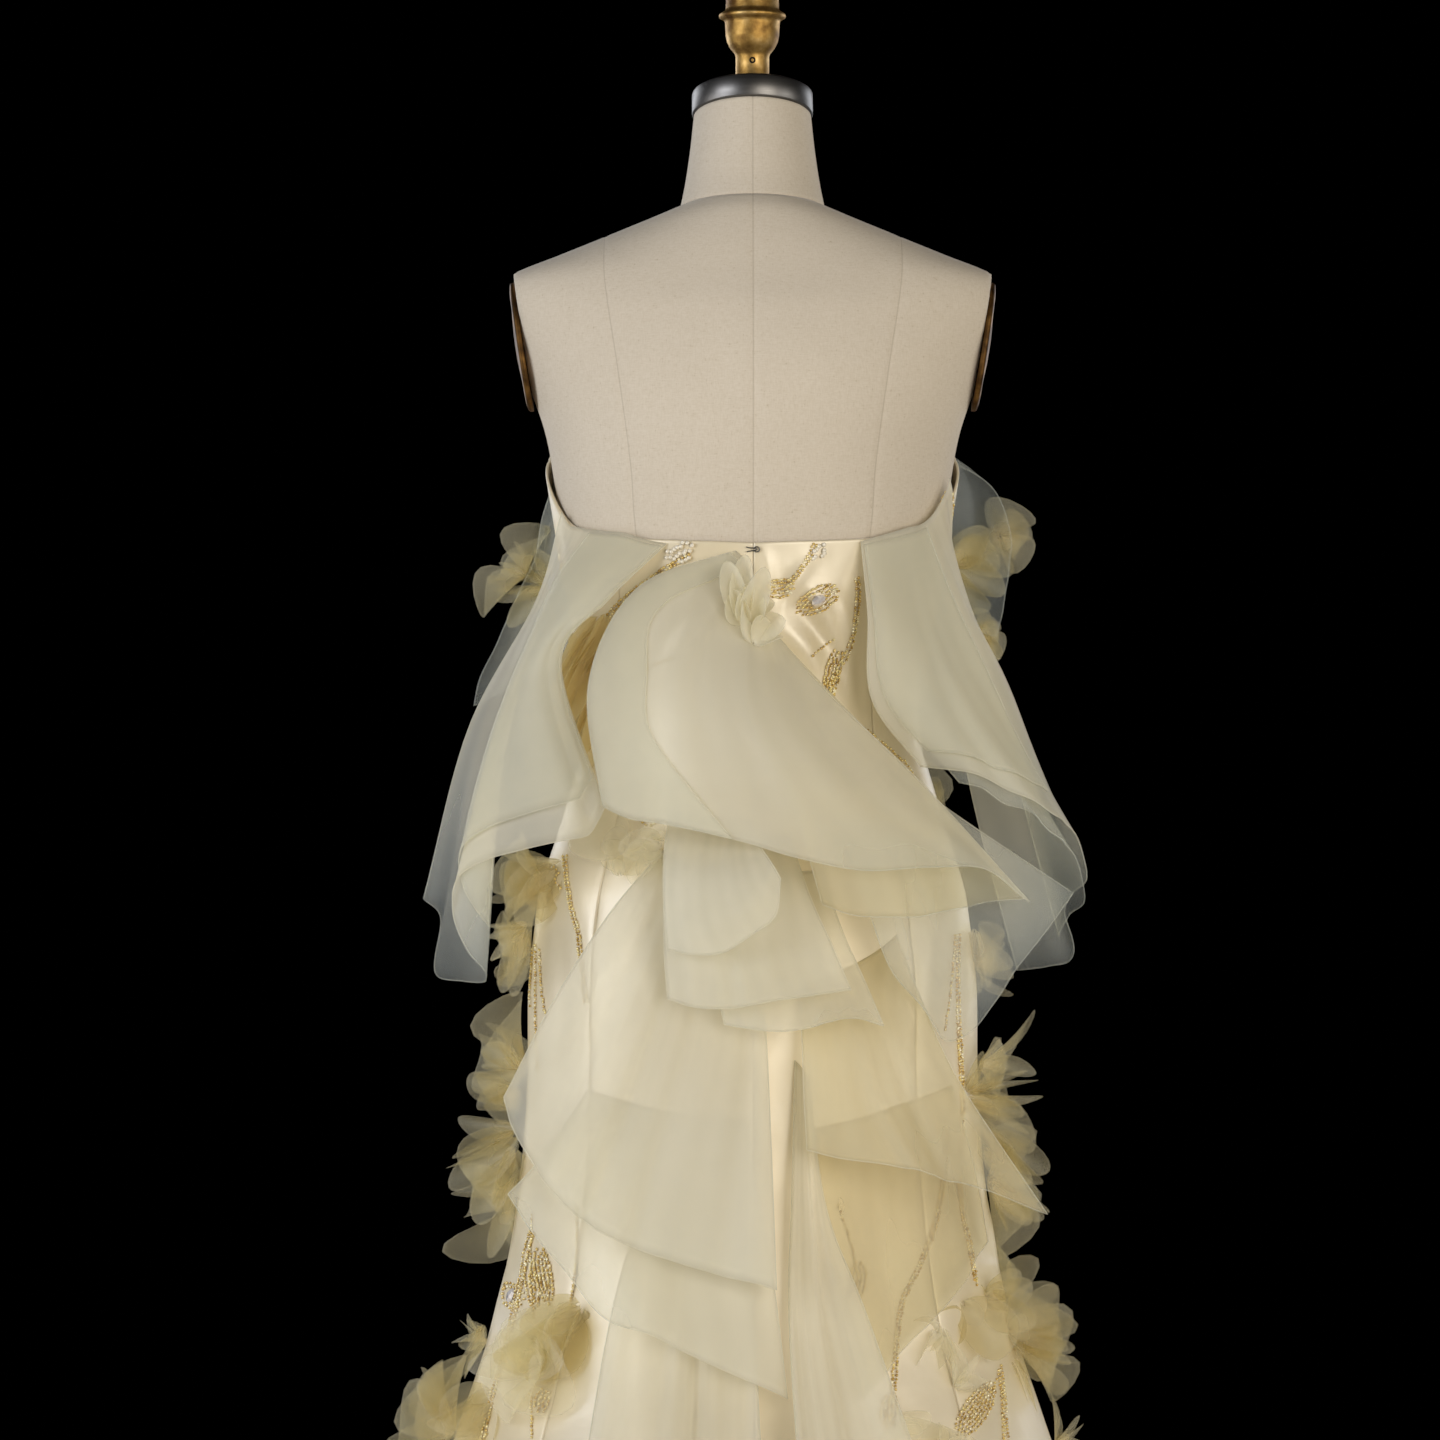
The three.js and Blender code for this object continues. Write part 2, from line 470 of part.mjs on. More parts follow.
// A grid of points moved along its own normals.
function moved(grid, offset) {
  const last = [grid.length - 1, grid[0].length - 1];
  const at = (i, j) =>
    grid[THREE.MathUtils.clamp(i, 0, last[0])][THREE.MathUtils.clamp(j, 0, last[1])];
  return grid.map((row, i) =>
    row.map((p, j) => {
      const across = at(i, j + 1).clone().sub(at(i, j - 1));
      const down = at(i + 1, j).clone().sub(at(i - 1, j));
      return p.clone().addScaledVector(across.cross(down).normalize(), offset);
    }),
  );
}

// A closed wall between two grids of points.
function wall(outer, inner) {
  const rows = outer.length;
  const columns = outer[0].length;
  const points = [...outer.flat(), ...inner.flat()];
  const skin = (side, i, j) => side * rows * columns + i * columns + j;
  const triangles = [];
  const quad = (a, b, c, d) => triangles.push([a, b, c], [a, c, d]);
  for (let i = 0; i + 1 < rows; i++)
    for (let j = 0; j + 1 < columns; j++) {
      quad(skin(0, i, j), skin(0, i + 1, j), skin(0, i + 1, j + 1), skin(0, i, j + 1));
      quad(skin(1, i, j), skin(1, i, j + 1), skin(1, i + 1, j + 1), skin(1, i + 1, j));
    }
  const rim = [];
  for (let j = 0; j + 1 < columns; j++) rim.push([0, j]);
  for (let i = 0; i + 1 < rows; i++) rim.push([i, columns - 1]);
  for (let j = columns - 1; j > 0; j--) rim.push([rows - 1, j]);
  for (let i = rows - 1; i > 0; i--) rim.push([i, 0]);
  rim.forEach(([i, j], k) => {
    const [m, n] = rim[(k + 1) % rim.length];
    quad(skin(0, i, j), skin(0, m, n), skin(1, m, n), skin(1, i, j));
  });
  return geometryOf(points, triangles);
}

// A solid through closed rings of equal length, from bottom to top, with flat ends.
function loft(rings) {
  const sides = rings[0].length;
  const points = rings.flat();
  const triangles = [];
  for (let i = 0; i + 1 < rings.length; i++)
    for (let j = 0; j < sides; j++) {
      const k = (j + 1) % sides;
      const [a, b] = [i * sides, (i + 1) * sides];
      triangles.push([a + j, a + k, b + k], [a + j, b + k, b + j]);
    }
  for (const [start, flip] of [
    [0, true],
    [(rings.length - 1) * sides, false],
  ])
    for (let j = 1; j + 1 < sides; j++)
      triangles.push(flip ? [start, start + j + 1, start + j] : [start, start + j, start + j + 1]);
  return geometryOf(points, triangles);
}

const wasm = await Module();
wasm.setup();

function solidOf(geometry) {
  const bare = new THREE.BufferGeometry();
  bare.setAttribute("position", geometry.getAttribute("position"));
  bare.setIndex(geometry.index);
  const merged = mergeVertices(bare, 1e-4);
  return new wasm.Manifold(
    new wasm.Mesh({
      numProp: 3,
      vertProperties: new Float32Array(merged.attributes.position.array),
      triVerts: new Uint32Array(merged.index.array),
    }),
  );
}

function geometryFrom(solid) {
  const { vertProperties, triVerts } = solid.getMesh();
  const geometry = new THREE.BufferGeometry();
  geometry.setAttribute("position", new THREE.BufferAttribute(vertProperties, 3));
  geometry.setIndex(new THREE.BufferAttribute(triVerts, 1));
  return geometry;
}

// ---- Materials ----
const material = (color, roughness, metalness = 0) =>
  new THREE.MeshStandardMaterial({ color, roughness, metalness, side: THREE.DoubleSide });
const satin = material(0xe9d9b4, 0.35);
const organza = material(0xe6dfb8, 0.6);
const petal = material(0xe4dba6, 0.6);
const zipTape = material(0xe6d9b2, 0.7);
const linen = material(0xd2c6b2, 0.9);
const gilt = material(0xa97f3c, 0.45, 0.9);
const steel = material(0x8c8f92, 0.25, 1);

const model = new THREE.Group();
function add(name, geometry, finish, parent = model) {
  const mesh = new THREE.Mesh(geometry, finish);
  mesh.name = name;
  parent.add(mesh);
  return mesh;
}

// ---- Gown ----

// A gore's rows follow the top edge down to the waist, then the skirt's heights.
function goreRows(angle) {
  const top = topEdge(angle);
  const bodice = [...Array(BODICE_ROWS).keys()].map((i) =>
    THREE.MathUtils.lerp(top, SKIRT_ROWS[0], i / BODICE_ROWS),
  );
  return [...bodice, ...SKIRT_ROWS];
}

for (const { name, from, to } of GORES) {
  const skins = [0, SATIN].map((depth) =>
    goreRows(0).map((_, i) =>
      [...Array(GORE_COLUMNS + 1).keys()].map((j) => {
        const deg = THREE.MathUtils.lerp(from, to, j / GORE_COLUMNS);
        const z = goreRows(THREE.MathUtils.degToRad(deg))[i];
        const p = gownAt(deg, z);
        const side = j === 0 ? 1 : j === GORE_COLUMNS ? -1 : 0;
        const ahead = gownAt(deg + 0.5, z).sub(gownAt(deg - 0.5, z)).setZ(0).normalize();
        p.addScaledVector(gownNormal(deg, z), -depth).setZ(z);
        return p.addScaledVector(ahead, (side * SEAM_GAP) / 2);
      }),
    ),
  );
  add(name, wall(skins[0], skins[1]), satin);
}

// The zip's tape is inside the centre back seam, from just under the top edge to the hip.
const ZIP = { half: 10, drop: 4, bottom: 900, thickness: 0.8, off: 0.8 };
const zipRows = [topEdge(0) - ZIP.drop, ...goreRows(0).slice(1).filter((z) => z >= ZIP.bottom)];
const zipSkins = [0, ZIP.thickness].map((depth) =>
  zipRows.map((z) => {
    const y = gownPoint(0, z).y - SATIN - ZIP.off - depth;
    return [-ZIP.half, ZIP.half].map((x) => new THREE.Vector3(x, y, z));
  }),
);
add("zip", wall(zipSkins[0], zipSkins[1]), zipTape);

// ---- Organza ruffles ----
const smooth = (points) => new THREE.CatmullRomCurve3(points, false, "catmullrom", 0.5);
const ROOT_OFF = 0.95; // from the gown's outside to the middle of a ruffle's wall at its root
const seatOff = (z) => (z < FLARE_TOP + 110 ? 0.7 : 0); // more where the skirt's outline is hollow

// An upper layer's root lies on the layer under it.
function ruffleGrid({ ribs, layer = 0 }) {
  const rootOff = ROOT_OFF + layer * (ORGANZA + SEAM_GAP);
  const through = (pointOf) => smooth(ribs.map(pointOf));
  const curves = [
    through(({ deg, z }) => gownAt(deg, z).addScaledVector(gownNormal(deg, z), rootOff + seatOff(z))),
    through(({ a }) => new THREE.Vector3(...a)),
    through(({ b }) => new THREE.Vector3(...b)),
    through(({ tip }) => new THREE.Vector3(...tip)),
  ];
  const columns = (ribs.length - 1) * RUFFLE_STEPS;
  const lines = [...Array(columns + 1).keys()].map((j) =>
    smooth(curves.map((curve) => curve.getPoint(j / columns))),
  );
  return [...Array(RUFFLE_ROWS + 1).keys()].map((i) =>
    lines.map((line) => {
      const p = line.getPoint(i / RUFFLE_ROWS);
      return clearOfGown(p, rootOff + (i ? 1.8 : seatOff(p.z)));
    }),
  );
}

// An under layer follows the ribs of the layer over it, inward of it, to a lower free edge.
function underGrid(above, { from, to, inward, longer }) {
  const last = RUFFLE_ROWS;
  const inner = moved(above, 1);
  return above.map((row, i) =>
    row.slice(from * RUFFLE_STEPS, to * RUFFLE_STEPS + 1).map((p, k) => {
      const j = from * RUFFLE_STEPS + k;
      const out = inner[i][j].clone().sub(p);
      const away = Math.sign(out.x * p.x + out.y * p.y) || 1;
      const share = Math.min(1, (2 * i) / last);
      const depth = ORGANZA + SEAM_GAP + (inward - ORGANZA) * share;
      const q = p.clone().addScaledVector(out, -away * depth);
      if (i < last) return q;
      return q.addScaledVector(p.clone().sub(above[i - 1][j]).normalize(), longer);
    }),
  );
}

const ruffleGrids = {};
const ruffleSkins = {};
for (const ruffle of RUFFLES) {
  const middle = ruffle.under ? underGrid(ruffleGrids[ruffle.under], ruffle) : ruffleGrid(ruffle);
  const skins = [moved(middle, ORGANZA / 2), moved(middle, -ORGANZA / 2)];
  add(ruffle.name, wall(skins[0], skins[1]), organza);
  ruffleGrids[ruffle.name] = middle;
  ruffleSkins[ruffle.name] = skins;
}

// ---- Flowers ----

// A flower is one lobed cup: petals in turn stand up and lie back, and each has a rounded edge.
function flowerGeometry({ size, open, spin }) {
  const count = PETALS * PETAL_STEPS;
  const radius = size / 2;
  const skins = [];
  for (const drop of [0, -PETAL_THICKNESS])
    for (const ring of [0.45, 1])
      for (let k = 0; k < count; k++) {
        const lobe = k % PETAL_STEPS === 0 ? 0.52 : 1;
        const raised = Math.floor(k / PETAL_STEPS) % 2 ? 1 : 0.35;
        const share = ring * (ring === 1 ? lobe : 1);
        const lift = radius * (1.1 - open) * raised * share ** 1.6;
        const reach = radius * share * (1 - 0.35 * (1 - open) * raised * share);
        const turn = THREE.MathUtils.degToRad(spin) + (2 * Math.PI * k) / count;
        skins.push(new THREE.Vector3(reach * Math.cos(turn), reach * Math.sin(turn), lift + drop));
      }
  const hubs = [new THREE.Vector3(0, 0, 0), new THREE.Vector3(0, 0, -PETAL_THICKNESS)];
  const points = [...skins, ...hubs];
  const at = (side, ring, k) => (side * 2 + ring) * count + (k % count);
  const triangles = [];
  const quad = (a, b, c, d) => triangles.push([a, b, c], [a, c, d]);
  for (let k = 0; k < count; k++) {
    triangles.push([skins.length, at(0, 0, k), at(0, 0, k + 1)]);
    triangles.push([skins.length + 1, at(1, 0, k + 1), at(1, 0, k)]);
    quad(at(0, 0, k), at(0, 1, k), at(0, 1, k + 1), at(0, 0, k + 1));
    quad(at(1, 0, k), at(1, 0, k + 1), at(1, 1, k + 1), at(1, 1, k));
    quad(at(0, 1, k), at(1, 1, k), at(1, 1, k + 1), at(0, 1, k + 1));
  }
  return geometryOf(points, triangles);
}

const FLOWER_OFF = PETAL_THICKNESS + 0.35; // its heart stands this far from the cloth under it
const onGown = ({ deg, z }) => ({ place: gownAt(deg, z), out: gownNormal(deg, z) });

// On a ruffle, a flower is sewn at share s along a row, on the skin that faces out.
function onRuffle({ on, s, row }) {
  const [a, b] = ruffleSkins[on].map((skin) => skin[row][Math.round(s * (skin[row].length - 1))]);
  const out = a.clone().sub(b).normalize();
  const away = out.x * a.x + out.y * a.y > 0;
  return { place: (away ? a : b).clone(), out: away ? out : out.negate() };
}
FLOWERS.forEach((flower, i) => {
  const { place, out } = flower.on ? onRuffle(flower) : onGown(flower);
  const off = FLOWER_OFF + (flower.on ? 0 : seatOff(place.z)) - (flower.close ?? 0);
  const mesh = add("flower_" + String(i + 1).padStart(2, "0"), flowerGeometry(flower), petal);
  mesh.quaternion.setFromUnitVectors(new THREE.Vector3(0, 0, 1), out);
  mesh.position.copy(place.addScaledVector(out, off));
});

// ---- Dress form ----
const FORM_SIDES = 28;
const ARM_PLATE = { z: 1338, half: 182, lean: 8.5, wide: 32, high: 52, thick: 7, gap: 0.3 };
const around = (count, pointAt) =>
  [...Array(count).keys()].map((k) => pointAt((2 * Math.PI * k) / count));

// The side of the form is cut flat under each shoulder, and an oval metal plate covers the cut.
function armFrame(side) {
  const frame = new THREE.Group();
  frame.position.set(side * ARM_PLATE.half, 6, ARM_PLATE.z);
  frame.rotation.set(0, side * (Math.PI / 2 + THREE.MathUtils.degToRad(ARM_PLATE.lean)), 0);
  frame.updateMatrixWorld(true);
  return frame;
}
const FORM_ROWS = [770, 800, 830, 865, 900, 932, 965, 1002, 1040, 1070, 1100, 1130, 1156, 1178, 1200];
for (let z = 1222; z < 1380; z += 22) FORM_ROWS.push(z);
const SHOULDER_LINE = 1384;
FORM_ROWS.push(SHOULDER_LINE, 1391, 1396, 1403, 1410, 1424, 1438, NECK_LINE);

// Above the shoulders each ring leans with the neck, so the last one is square to it.
function leant(p) {
  const share = THREE.MathUtils.smoothstep(p.z, SHOULDER_LINE, NECK_LINE);
  return p.setZ(p.z + p.y * Math.tan(NECK_FOOT_TILT) * share);
}
let torso = solidOf(
  loft(FORM_ROWS.map((z) => around(FORM_SIDES, (angle) => leant(formPoint(angle, z))))),
);
for (const side of [1, -1]) {
  const cutter = new THREE.BoxGeometry(200, 200, 60).translate(0, 0, 30);
  cutter.applyMatrix4(armFrame(side).matrixWorld);
  torso = torso.subtract(solidOf(cutter));
}
add("form_torso", geometryFrom(torso), linen);

for (const [name, side] of [
  ["arm_plate_left", 1],
  ["arm_plate_right", -1],
]) {
  const frame = armFrame(side);
  model.add(frame);
  const rings = [
    { h: 0, k: 1 },
    { h: ARM_PLATE.thick * 0.6, k: 1 },
    { h: ARM_PLATE.thick, k: 0.86 },
  ].map(({ h, k }) =>
    around(20, (t) => {
      const [high, wide] = [ARM_PLATE.high * k, ARM_PLATE.wide * k];
      return new THREE.Vector3(high * Math.cos(t), wide * Math.sin(t), h);
    }),
  );
  add(name, loft(rings).translate(0, 0, ARM_PLATE.gap), gilt, frame);
}

// The neck leans forward from the shoulders, more at its top than at its foot.
const NECK_SIDES = 24;
const NECK_SECTIONS = [
  { share: 0, half: 58, deep: 51 },
  { share: 0.26, half: 54, deep: 48 },
  { share: 0.62, half: 50, deep: 47 },
  { share: 1, half: NECK_TOP_RADIUS, deep: NECK_TOP_RADIUS },
];
const middleOfNeck = new THREE.Vector3(0, 0, NECK_LINE + SEAM_GAP);
const neckRings = NECK_SECTIONS.map(({ share, half, deep }, k) => {
  const tilt = THREE.MathUtils.lerp(NECK_FOOT_TILT, NECK_TOP_TILT, share);
  const step = k ? (share - NECK_SECTIONS[k - 1].share) * NECK_LENGTH : 0;
  middleOfNeck.add(new THREE.Vector3(0, -step * Math.sin(tilt), step * Math.cos(tilt)));
  return around(NECK_SIDES, (t) => {
    const back = deep * Math.sin(t);
    const p = new THREE.Vector3(half * Math.cos(t), back * Math.cos(tilt), back * Math.sin(tilt));
    return p.add(middleOfNeck);
  });
});
add("form_neck", loft(neckRings), linen);

const neckTop = new THREE.Group();
neckTop.position.copy(middleOfNeck);
neckTop.rotation.x = NECK_TOP_TILT;
model.add(neckTop);
const cap = new THREE.CylinderGeometry(CAP_RADIUS, CAP_RADIUS, CAP_HEIGHT, 36).rotateX(Math.PI / 2);
add("neck_cap", cap.translate(0, 0, SEAM_GAP + CAP_HEIGHT / 2), steel, neckTop);

// The finial stands upright on the tilted cap, so its foot is cut to the cap's slope.
const capTop = new THREE.Vector3(0, 0, SEAM_GAP + CAP_HEIGHT);
neckTop.updateMatrixWorld(true);
neckTop.localToWorld(capTop);
const profile = [
  new THREE.Vector2(0, -12),
  new THREE.Vector2(FINIAL_PROFILE[0].r, -12),
  ...FINIAL_PROFILE.map(({ r, h }) => new THREE.Vector2(r, h)),
  new THREE.Vector2(0, FINIAL_PROFILE[FINIAL_PROFILE.length - 1].h + 2),
];
const turned = new THREE.LatheGeometry(profile, 16).rotateX(Math.PI / 2);
turned.deleteAttribute("normal");
turned.deleteAttribute("uv");
const under = new THREE.BoxGeometry(120, 120, 60).translate(0, 0, -30 + SEAM_GAP);
const screw = new THREE.CylinderGeometry(FINIAL_SCREW.radius, FINIAL_SCREW.radius, 30, 12);
screw.translate(0, 30 - FINIAL_SCREW.depth, FINIAL_SCREW.height);
const finialSolid = solidOf(mergeVertices(turned, 1e-4))
  .subtract(solidOf(under.rotateX(NECK_TOP_TILT)))
  .subtract(solidOf(screw));
add("finial", geometryFrom(finialSolid), gilt).position.copy(capTop);

// ---- Stand ----
const poleBottom = BASE_HEIGHT + SEAM_GAP;
const poleTop = FORM_BOTTOM - SEAM_GAP;
const pole = new THREE.CylinderGeometry(POLE_RADIUS, POLE_RADIUS, poleTop - poleBottom, 20);
add("stand_pole", pole.rotateX(Math.PI / 2).translate(0, 0, (poleTop + poleBottom) / 2), gilt);
const base = new THREE.CylinderGeometry(BASE_RADIUS - 3, BASE_RADIUS, BASE_HEIGHT, 40);
add("stand_base", base.rotateX(Math.PI / 2).translate(0, 0, BASE_HEIGHT / 2), gilt);

export default model;
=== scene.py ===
import math

import bmesh
import bpy
import numpy as np
from mathutils import Matrix, Vector


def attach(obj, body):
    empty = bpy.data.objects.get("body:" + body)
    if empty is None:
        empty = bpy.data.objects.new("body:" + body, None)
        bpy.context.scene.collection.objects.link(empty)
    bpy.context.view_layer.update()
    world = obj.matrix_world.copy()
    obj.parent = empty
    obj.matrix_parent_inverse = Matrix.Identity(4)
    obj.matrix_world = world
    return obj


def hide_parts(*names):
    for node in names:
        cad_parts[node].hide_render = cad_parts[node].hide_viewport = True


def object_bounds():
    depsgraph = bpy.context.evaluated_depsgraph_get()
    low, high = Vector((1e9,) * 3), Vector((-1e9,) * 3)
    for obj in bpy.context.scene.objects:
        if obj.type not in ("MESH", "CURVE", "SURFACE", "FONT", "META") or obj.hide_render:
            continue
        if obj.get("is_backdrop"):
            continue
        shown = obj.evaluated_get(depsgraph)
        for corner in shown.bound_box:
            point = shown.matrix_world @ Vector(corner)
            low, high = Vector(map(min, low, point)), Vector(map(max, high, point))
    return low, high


# A strapless mermaid gown in duchesse satin, with organza ruffles down its back, organza flowers and
# bead vines, worn by a limbless dress form on a pole stand. The sizes in this file are millimetres.
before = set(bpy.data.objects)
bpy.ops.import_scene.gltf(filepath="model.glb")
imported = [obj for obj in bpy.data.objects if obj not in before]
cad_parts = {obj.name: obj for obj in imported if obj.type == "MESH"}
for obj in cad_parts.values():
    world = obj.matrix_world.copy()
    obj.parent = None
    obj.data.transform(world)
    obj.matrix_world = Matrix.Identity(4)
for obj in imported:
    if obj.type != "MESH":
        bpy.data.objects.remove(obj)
cad_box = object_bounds()
MM = 0.001


# ---- Stand ----
# A round base plate and a plain pole carry the form. Both are turned or drawn steel with an antique
# gilt finish, brushed on by hand: bright on the high places and brown where it was left.
BASE_RADIUS = 170
BASE_HEIGHT = 10
POLE_RADIUS = 14
POLE_BOTTOM = 10.3
COLLAR_RADIUS = 24
FORM_BOTTOM = 770


def linear(code):
    """A hex sRGB colour as linear red, green, blue and alpha 1."""
    parts = [int(code[i : i + 2], 16) / 255 for i in (1, 3, 5)]
    return [c / 12.92 if c <= 0.04045 else ((c + 0.055) / 1.055) ** 2.4 for c in parts] + [1]


def node(tree, kind, settings=None):
    """Adds a node. settings are its properties, its inputs by name or number, and the stops of a colour
    ramp as (place, colour). An input is a value or what feeds it: a socket, or a node's first output."""
    made = tree.nodes.new("ShaderNode" + kind)
    for key, value in (settings or {}).items():
        if isinstance(value, bpy.types.Node):
            value = value.outputs[0]
        if key == "stops":
            while len(made.color_ramp.elements) < len(value):
                made.color_ramp.elements.new(0.5)
            for element, (place, code) in zip(made.color_ramp.elements, value):
                element.position = place
                element.color = linear(code)
        elif isinstance(value, bpy.types.NodeSocket):
            tree.links.new(value, made.inputs[key])
        elif isinstance(key, int) or key in made.inputs:
            made.inputs[key].default_value = value
        else:
            setattr(made, key, value)
    return made


def new_material(name):
    """A material, its node tree, and a socket that gives the place on the object in metres."""
    made = bpy.data.materials.new(name)
    made.use_nodes = True
    made.node_tree.nodes.clear()
    return made, made.node_tree, node(made.node_tree, "TexCoord").outputs["Object"]


def antique_gilt(name, low, middle, high):
    """Gilt wax on cast metal: warm gold, browner in blotches about 12 mm across, with fine pits."""
    made, tree, place = new_material(name)
    blotch = node(tree, "TexNoise", {"Scale": 80, "Detail": 5, "Vector": place})
    pits = node(tree, "TexNoise", {"Scale": 900, "Detail": 2, "Vector": place})
    colour = node(tree, "ValToRGB", {"stops": [(0.3, low), (0.5, middle), (0.72, high)], "Fac": blotch})
    rough = node(tree, "MapRange", {"To Min": 0.6, "To Max": 0.38, "Value": blotch})
    bump = node(tree, "Bump", {"Strength": 0.3, "Distance": 0.0004, "Height": pits})
    look = {"Metallic": 0.92, "Base Color": colour, "Roughness": rough, "Normal": bump}
    node(tree, "OutputMaterial", {"Surface": node(tree, "BsdfPrincipled", look)})
    return made


def mesh_object(
    name, points, quads, materials, slot=None, replaced=None, slots=None, fields=None, weld=False, flat=False
):
    """A mesh on the part's body, from an array of points in millimetres and an array of four-sided faces,
    in place of the frame's node named in replaced. slot is not used. slots gives each
    face's material, and fields its named numbers at each point. weld merges points that coincide."""
    mesh = bpy.data.meshes.new(name)
    mesh.vertices.add(len(points))
    mesh.vertices.foreach_set("co", (np.asarray(points, np.float32) * MM).ravel())
    mesh.loops.add(quads.size)
    mesh.loops.foreach_set("vertex_index", quads.astype(np.int32).ravel())
    mesh.polygons.add(len(quads))
    mesh.polygons.foreach_set("loop_start", np.arange(len(quads), dtype=np.int32) * 4)
    for material in materials:
        mesh.materials.append(material)
    if slots is not None:
        mesh.polygons.foreach_set("material_index", np.asarray(slots, np.int32))
    for key, values in (fields or {}).items():
        field = mesh.attributes.new(key, "FLOAT", "POINT")
        field.data.foreach_set("value", np.asarray(values, np.float32).ravel())
    mesh.update(calc_edges=True)
    if weld:
        work = bmesh.new()
        work.from_mesh(mesh)
        bmesh.ops.remove_doubles(work, verts=work.verts, dist=2e-5)
        bmesh.ops.recalc_face_normals(work, faces=work.faces)
        work.to_mesh(mesh)
        work.free()
    mesh.polygons.foreach_set("use_smooth", np.full(len(mesh.polygons), not flat))
    made = bpy.data.objects.new(name, mesh)
    bpy.context.scene.collection.objects.link(made)
    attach(made, "root")
    if replaced:
        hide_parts(replaced)
    return made


def grid_quads(rows, columns, wrap=False):
    """The faces of a grid of points, row by row. With wrap, the last column joins the first."""
    i, j = np.meshgrid(np.arange(rows - 1), np.arange(columns - (0 if wrap else 1)), indexing="ij")
    k = (j + 1) % columns
    corners = [i * columns + j, i * columns + k, (i + 1) * columns + k, (i + 1) * columns + j]
    return np.stack([c.ravel() for c in corners], 1)


def closed_rings(rings):
    """Adds a point ring at the middle of the first and last ring, so that the solid is shut."""
    ends = [np.repeat(rings[k].mean(0)[None], rings.shape[1], 0)[None] for k in (0, -1)]
    return np.concatenate([ends[0], rings, ends[1]])


def full_turn(steps):
    """Even angles round a circle."""
    return np.linspace(0, 2 * math.pi, steps, endpoint=False)


def turned(profile, steps):
    """A solid of revolution round Z. profile is (radius, height) rows."""
    radius, height = np.array(profile, float).T
    turn = full_turn(steps)
    x, y = radius[:, None] * np.cos(turn), radius[:, None] * np.sin(turn)
    return closed_rings(np.stack([x, y, np.broadcast_to(height[:, None], x.shape)], -1))


def ring_solid(name, rings, material, slot=None, replaced=None, place=None, fields=None):
    """A solid through closed rings, moved by a matrix."""
    points = rings.reshape(-1, 3)
    if place is not None:
        turn = np.array(place)
        points = points @ turn[:3, :3].T + turn[:3, 3]
    quads = grid_quads(len(rings), rings.shape[1], wrap=True)
    return mesh_object(name, points, quads, [material], slot, replaced, fields=fields, weld=True)


gilt = antique_gilt("antique_gilt", "#6E4E26", "#AA8648", "#D6B476")
base_rim = [(BASE_RADIUS - 2, 0), (BASE_RADIUS, 2), (BASE_RADIUS, 6), (BASE_RADIUS - 1, 8.6)]
base_top = [(BASE_RADIUS - 4, BASE_HEIGHT), (60, BASE_HEIGHT)]
ring_solid("base_plate", turned(base_rim + base_top, 96), gilt, "gilt", "stand_base")
collar = [(COLLAR_RADIUS, 0), (COLLAR_RADIUS, 12), (COLLAR_RADIUS - 3, 16)]
collar += [(POLE_RADIUS + 1, 18), (POLE_RADIUS, 20)]
collar = [(radius, POLE_BOTTOM + up) for radius, up in collar]
pole_top = [(POLE_RADIUS, FORM_BOTTOM - 1.3), (POLE_RADIUS - 1, FORM_BOTTOM - 0.3)]
ring_solid("pole", turned(collar + pole_top, 40), gilt, "gilt", "stand_pole")


# ---- Dress form ----
# A cast body covered in natural linen, sewn in eight panels: seams at centre back and front, at the
# sides and over the shoulder blades and bust. The neck has its own cover, seamed to the shoulders.
FORM = {
    "z": [770, 830, 900, 965, 1040, 1100, 1160, 1220, 1270, 1320, 1365, 1384, 1396, 1410, 1424, 1438, 1448],
    "half": [168, 172, 165, 145, 127, 136, 147, 157, 166, 184, 201, 203, 192, 156, 119, 82, 58],
    "front": [104, 108, 108, 99, 85, 92, 102, 110, 108, 92, 72, 60, 52, 46, 43, 43, 48],
    "back": [122, 126, 112, 93, 80, 86, 94, 102, 106, 104, 95, 88, 83, 77, 70, 62, 52],
}
BUST = {"x": 78, "z": 1214, "wide": 52, "high": 58, "out": 24}
SHOULDER_LINE = 1384
NECK_LINE = 1448
NECK_FOOT_TILT = math.radians(8.5)
NECK_TOP_TILT = math.radians(13)
NECK_LENGTH = 78
NECK = {"share": [0, 0.26, 0.62, 1], "half": [58, 54, 50, 47], "deep": [51, 48, 47, 47]}
NECK_SEAM = {"radius": 50, "deep": 0.5, "wide": 2}
ARM_CUT = 100
ARM_PLATE = {"z": 1338, "y": 6, "half": 182, "lean": 8.5, "wide": 32, "high": 52}
# How far the seam over each shoulder blade lies from the centre, by height. Above the last height it
# runs close to the side seam.
BLADE_SEAM = {"z": [770, 1040, 1194, 1238, 1313, 1387, 1424], "x": [96, 74, 93, 96, 106, 117, 118]}
SEAM_WIDTH = 1.8
SEAM_DEPTH = 0.45
PANEL_COLUMNS = 21
# The cover is turned under at the foot, to this share of the form's width there.
FOOT_SHARE = 0.985


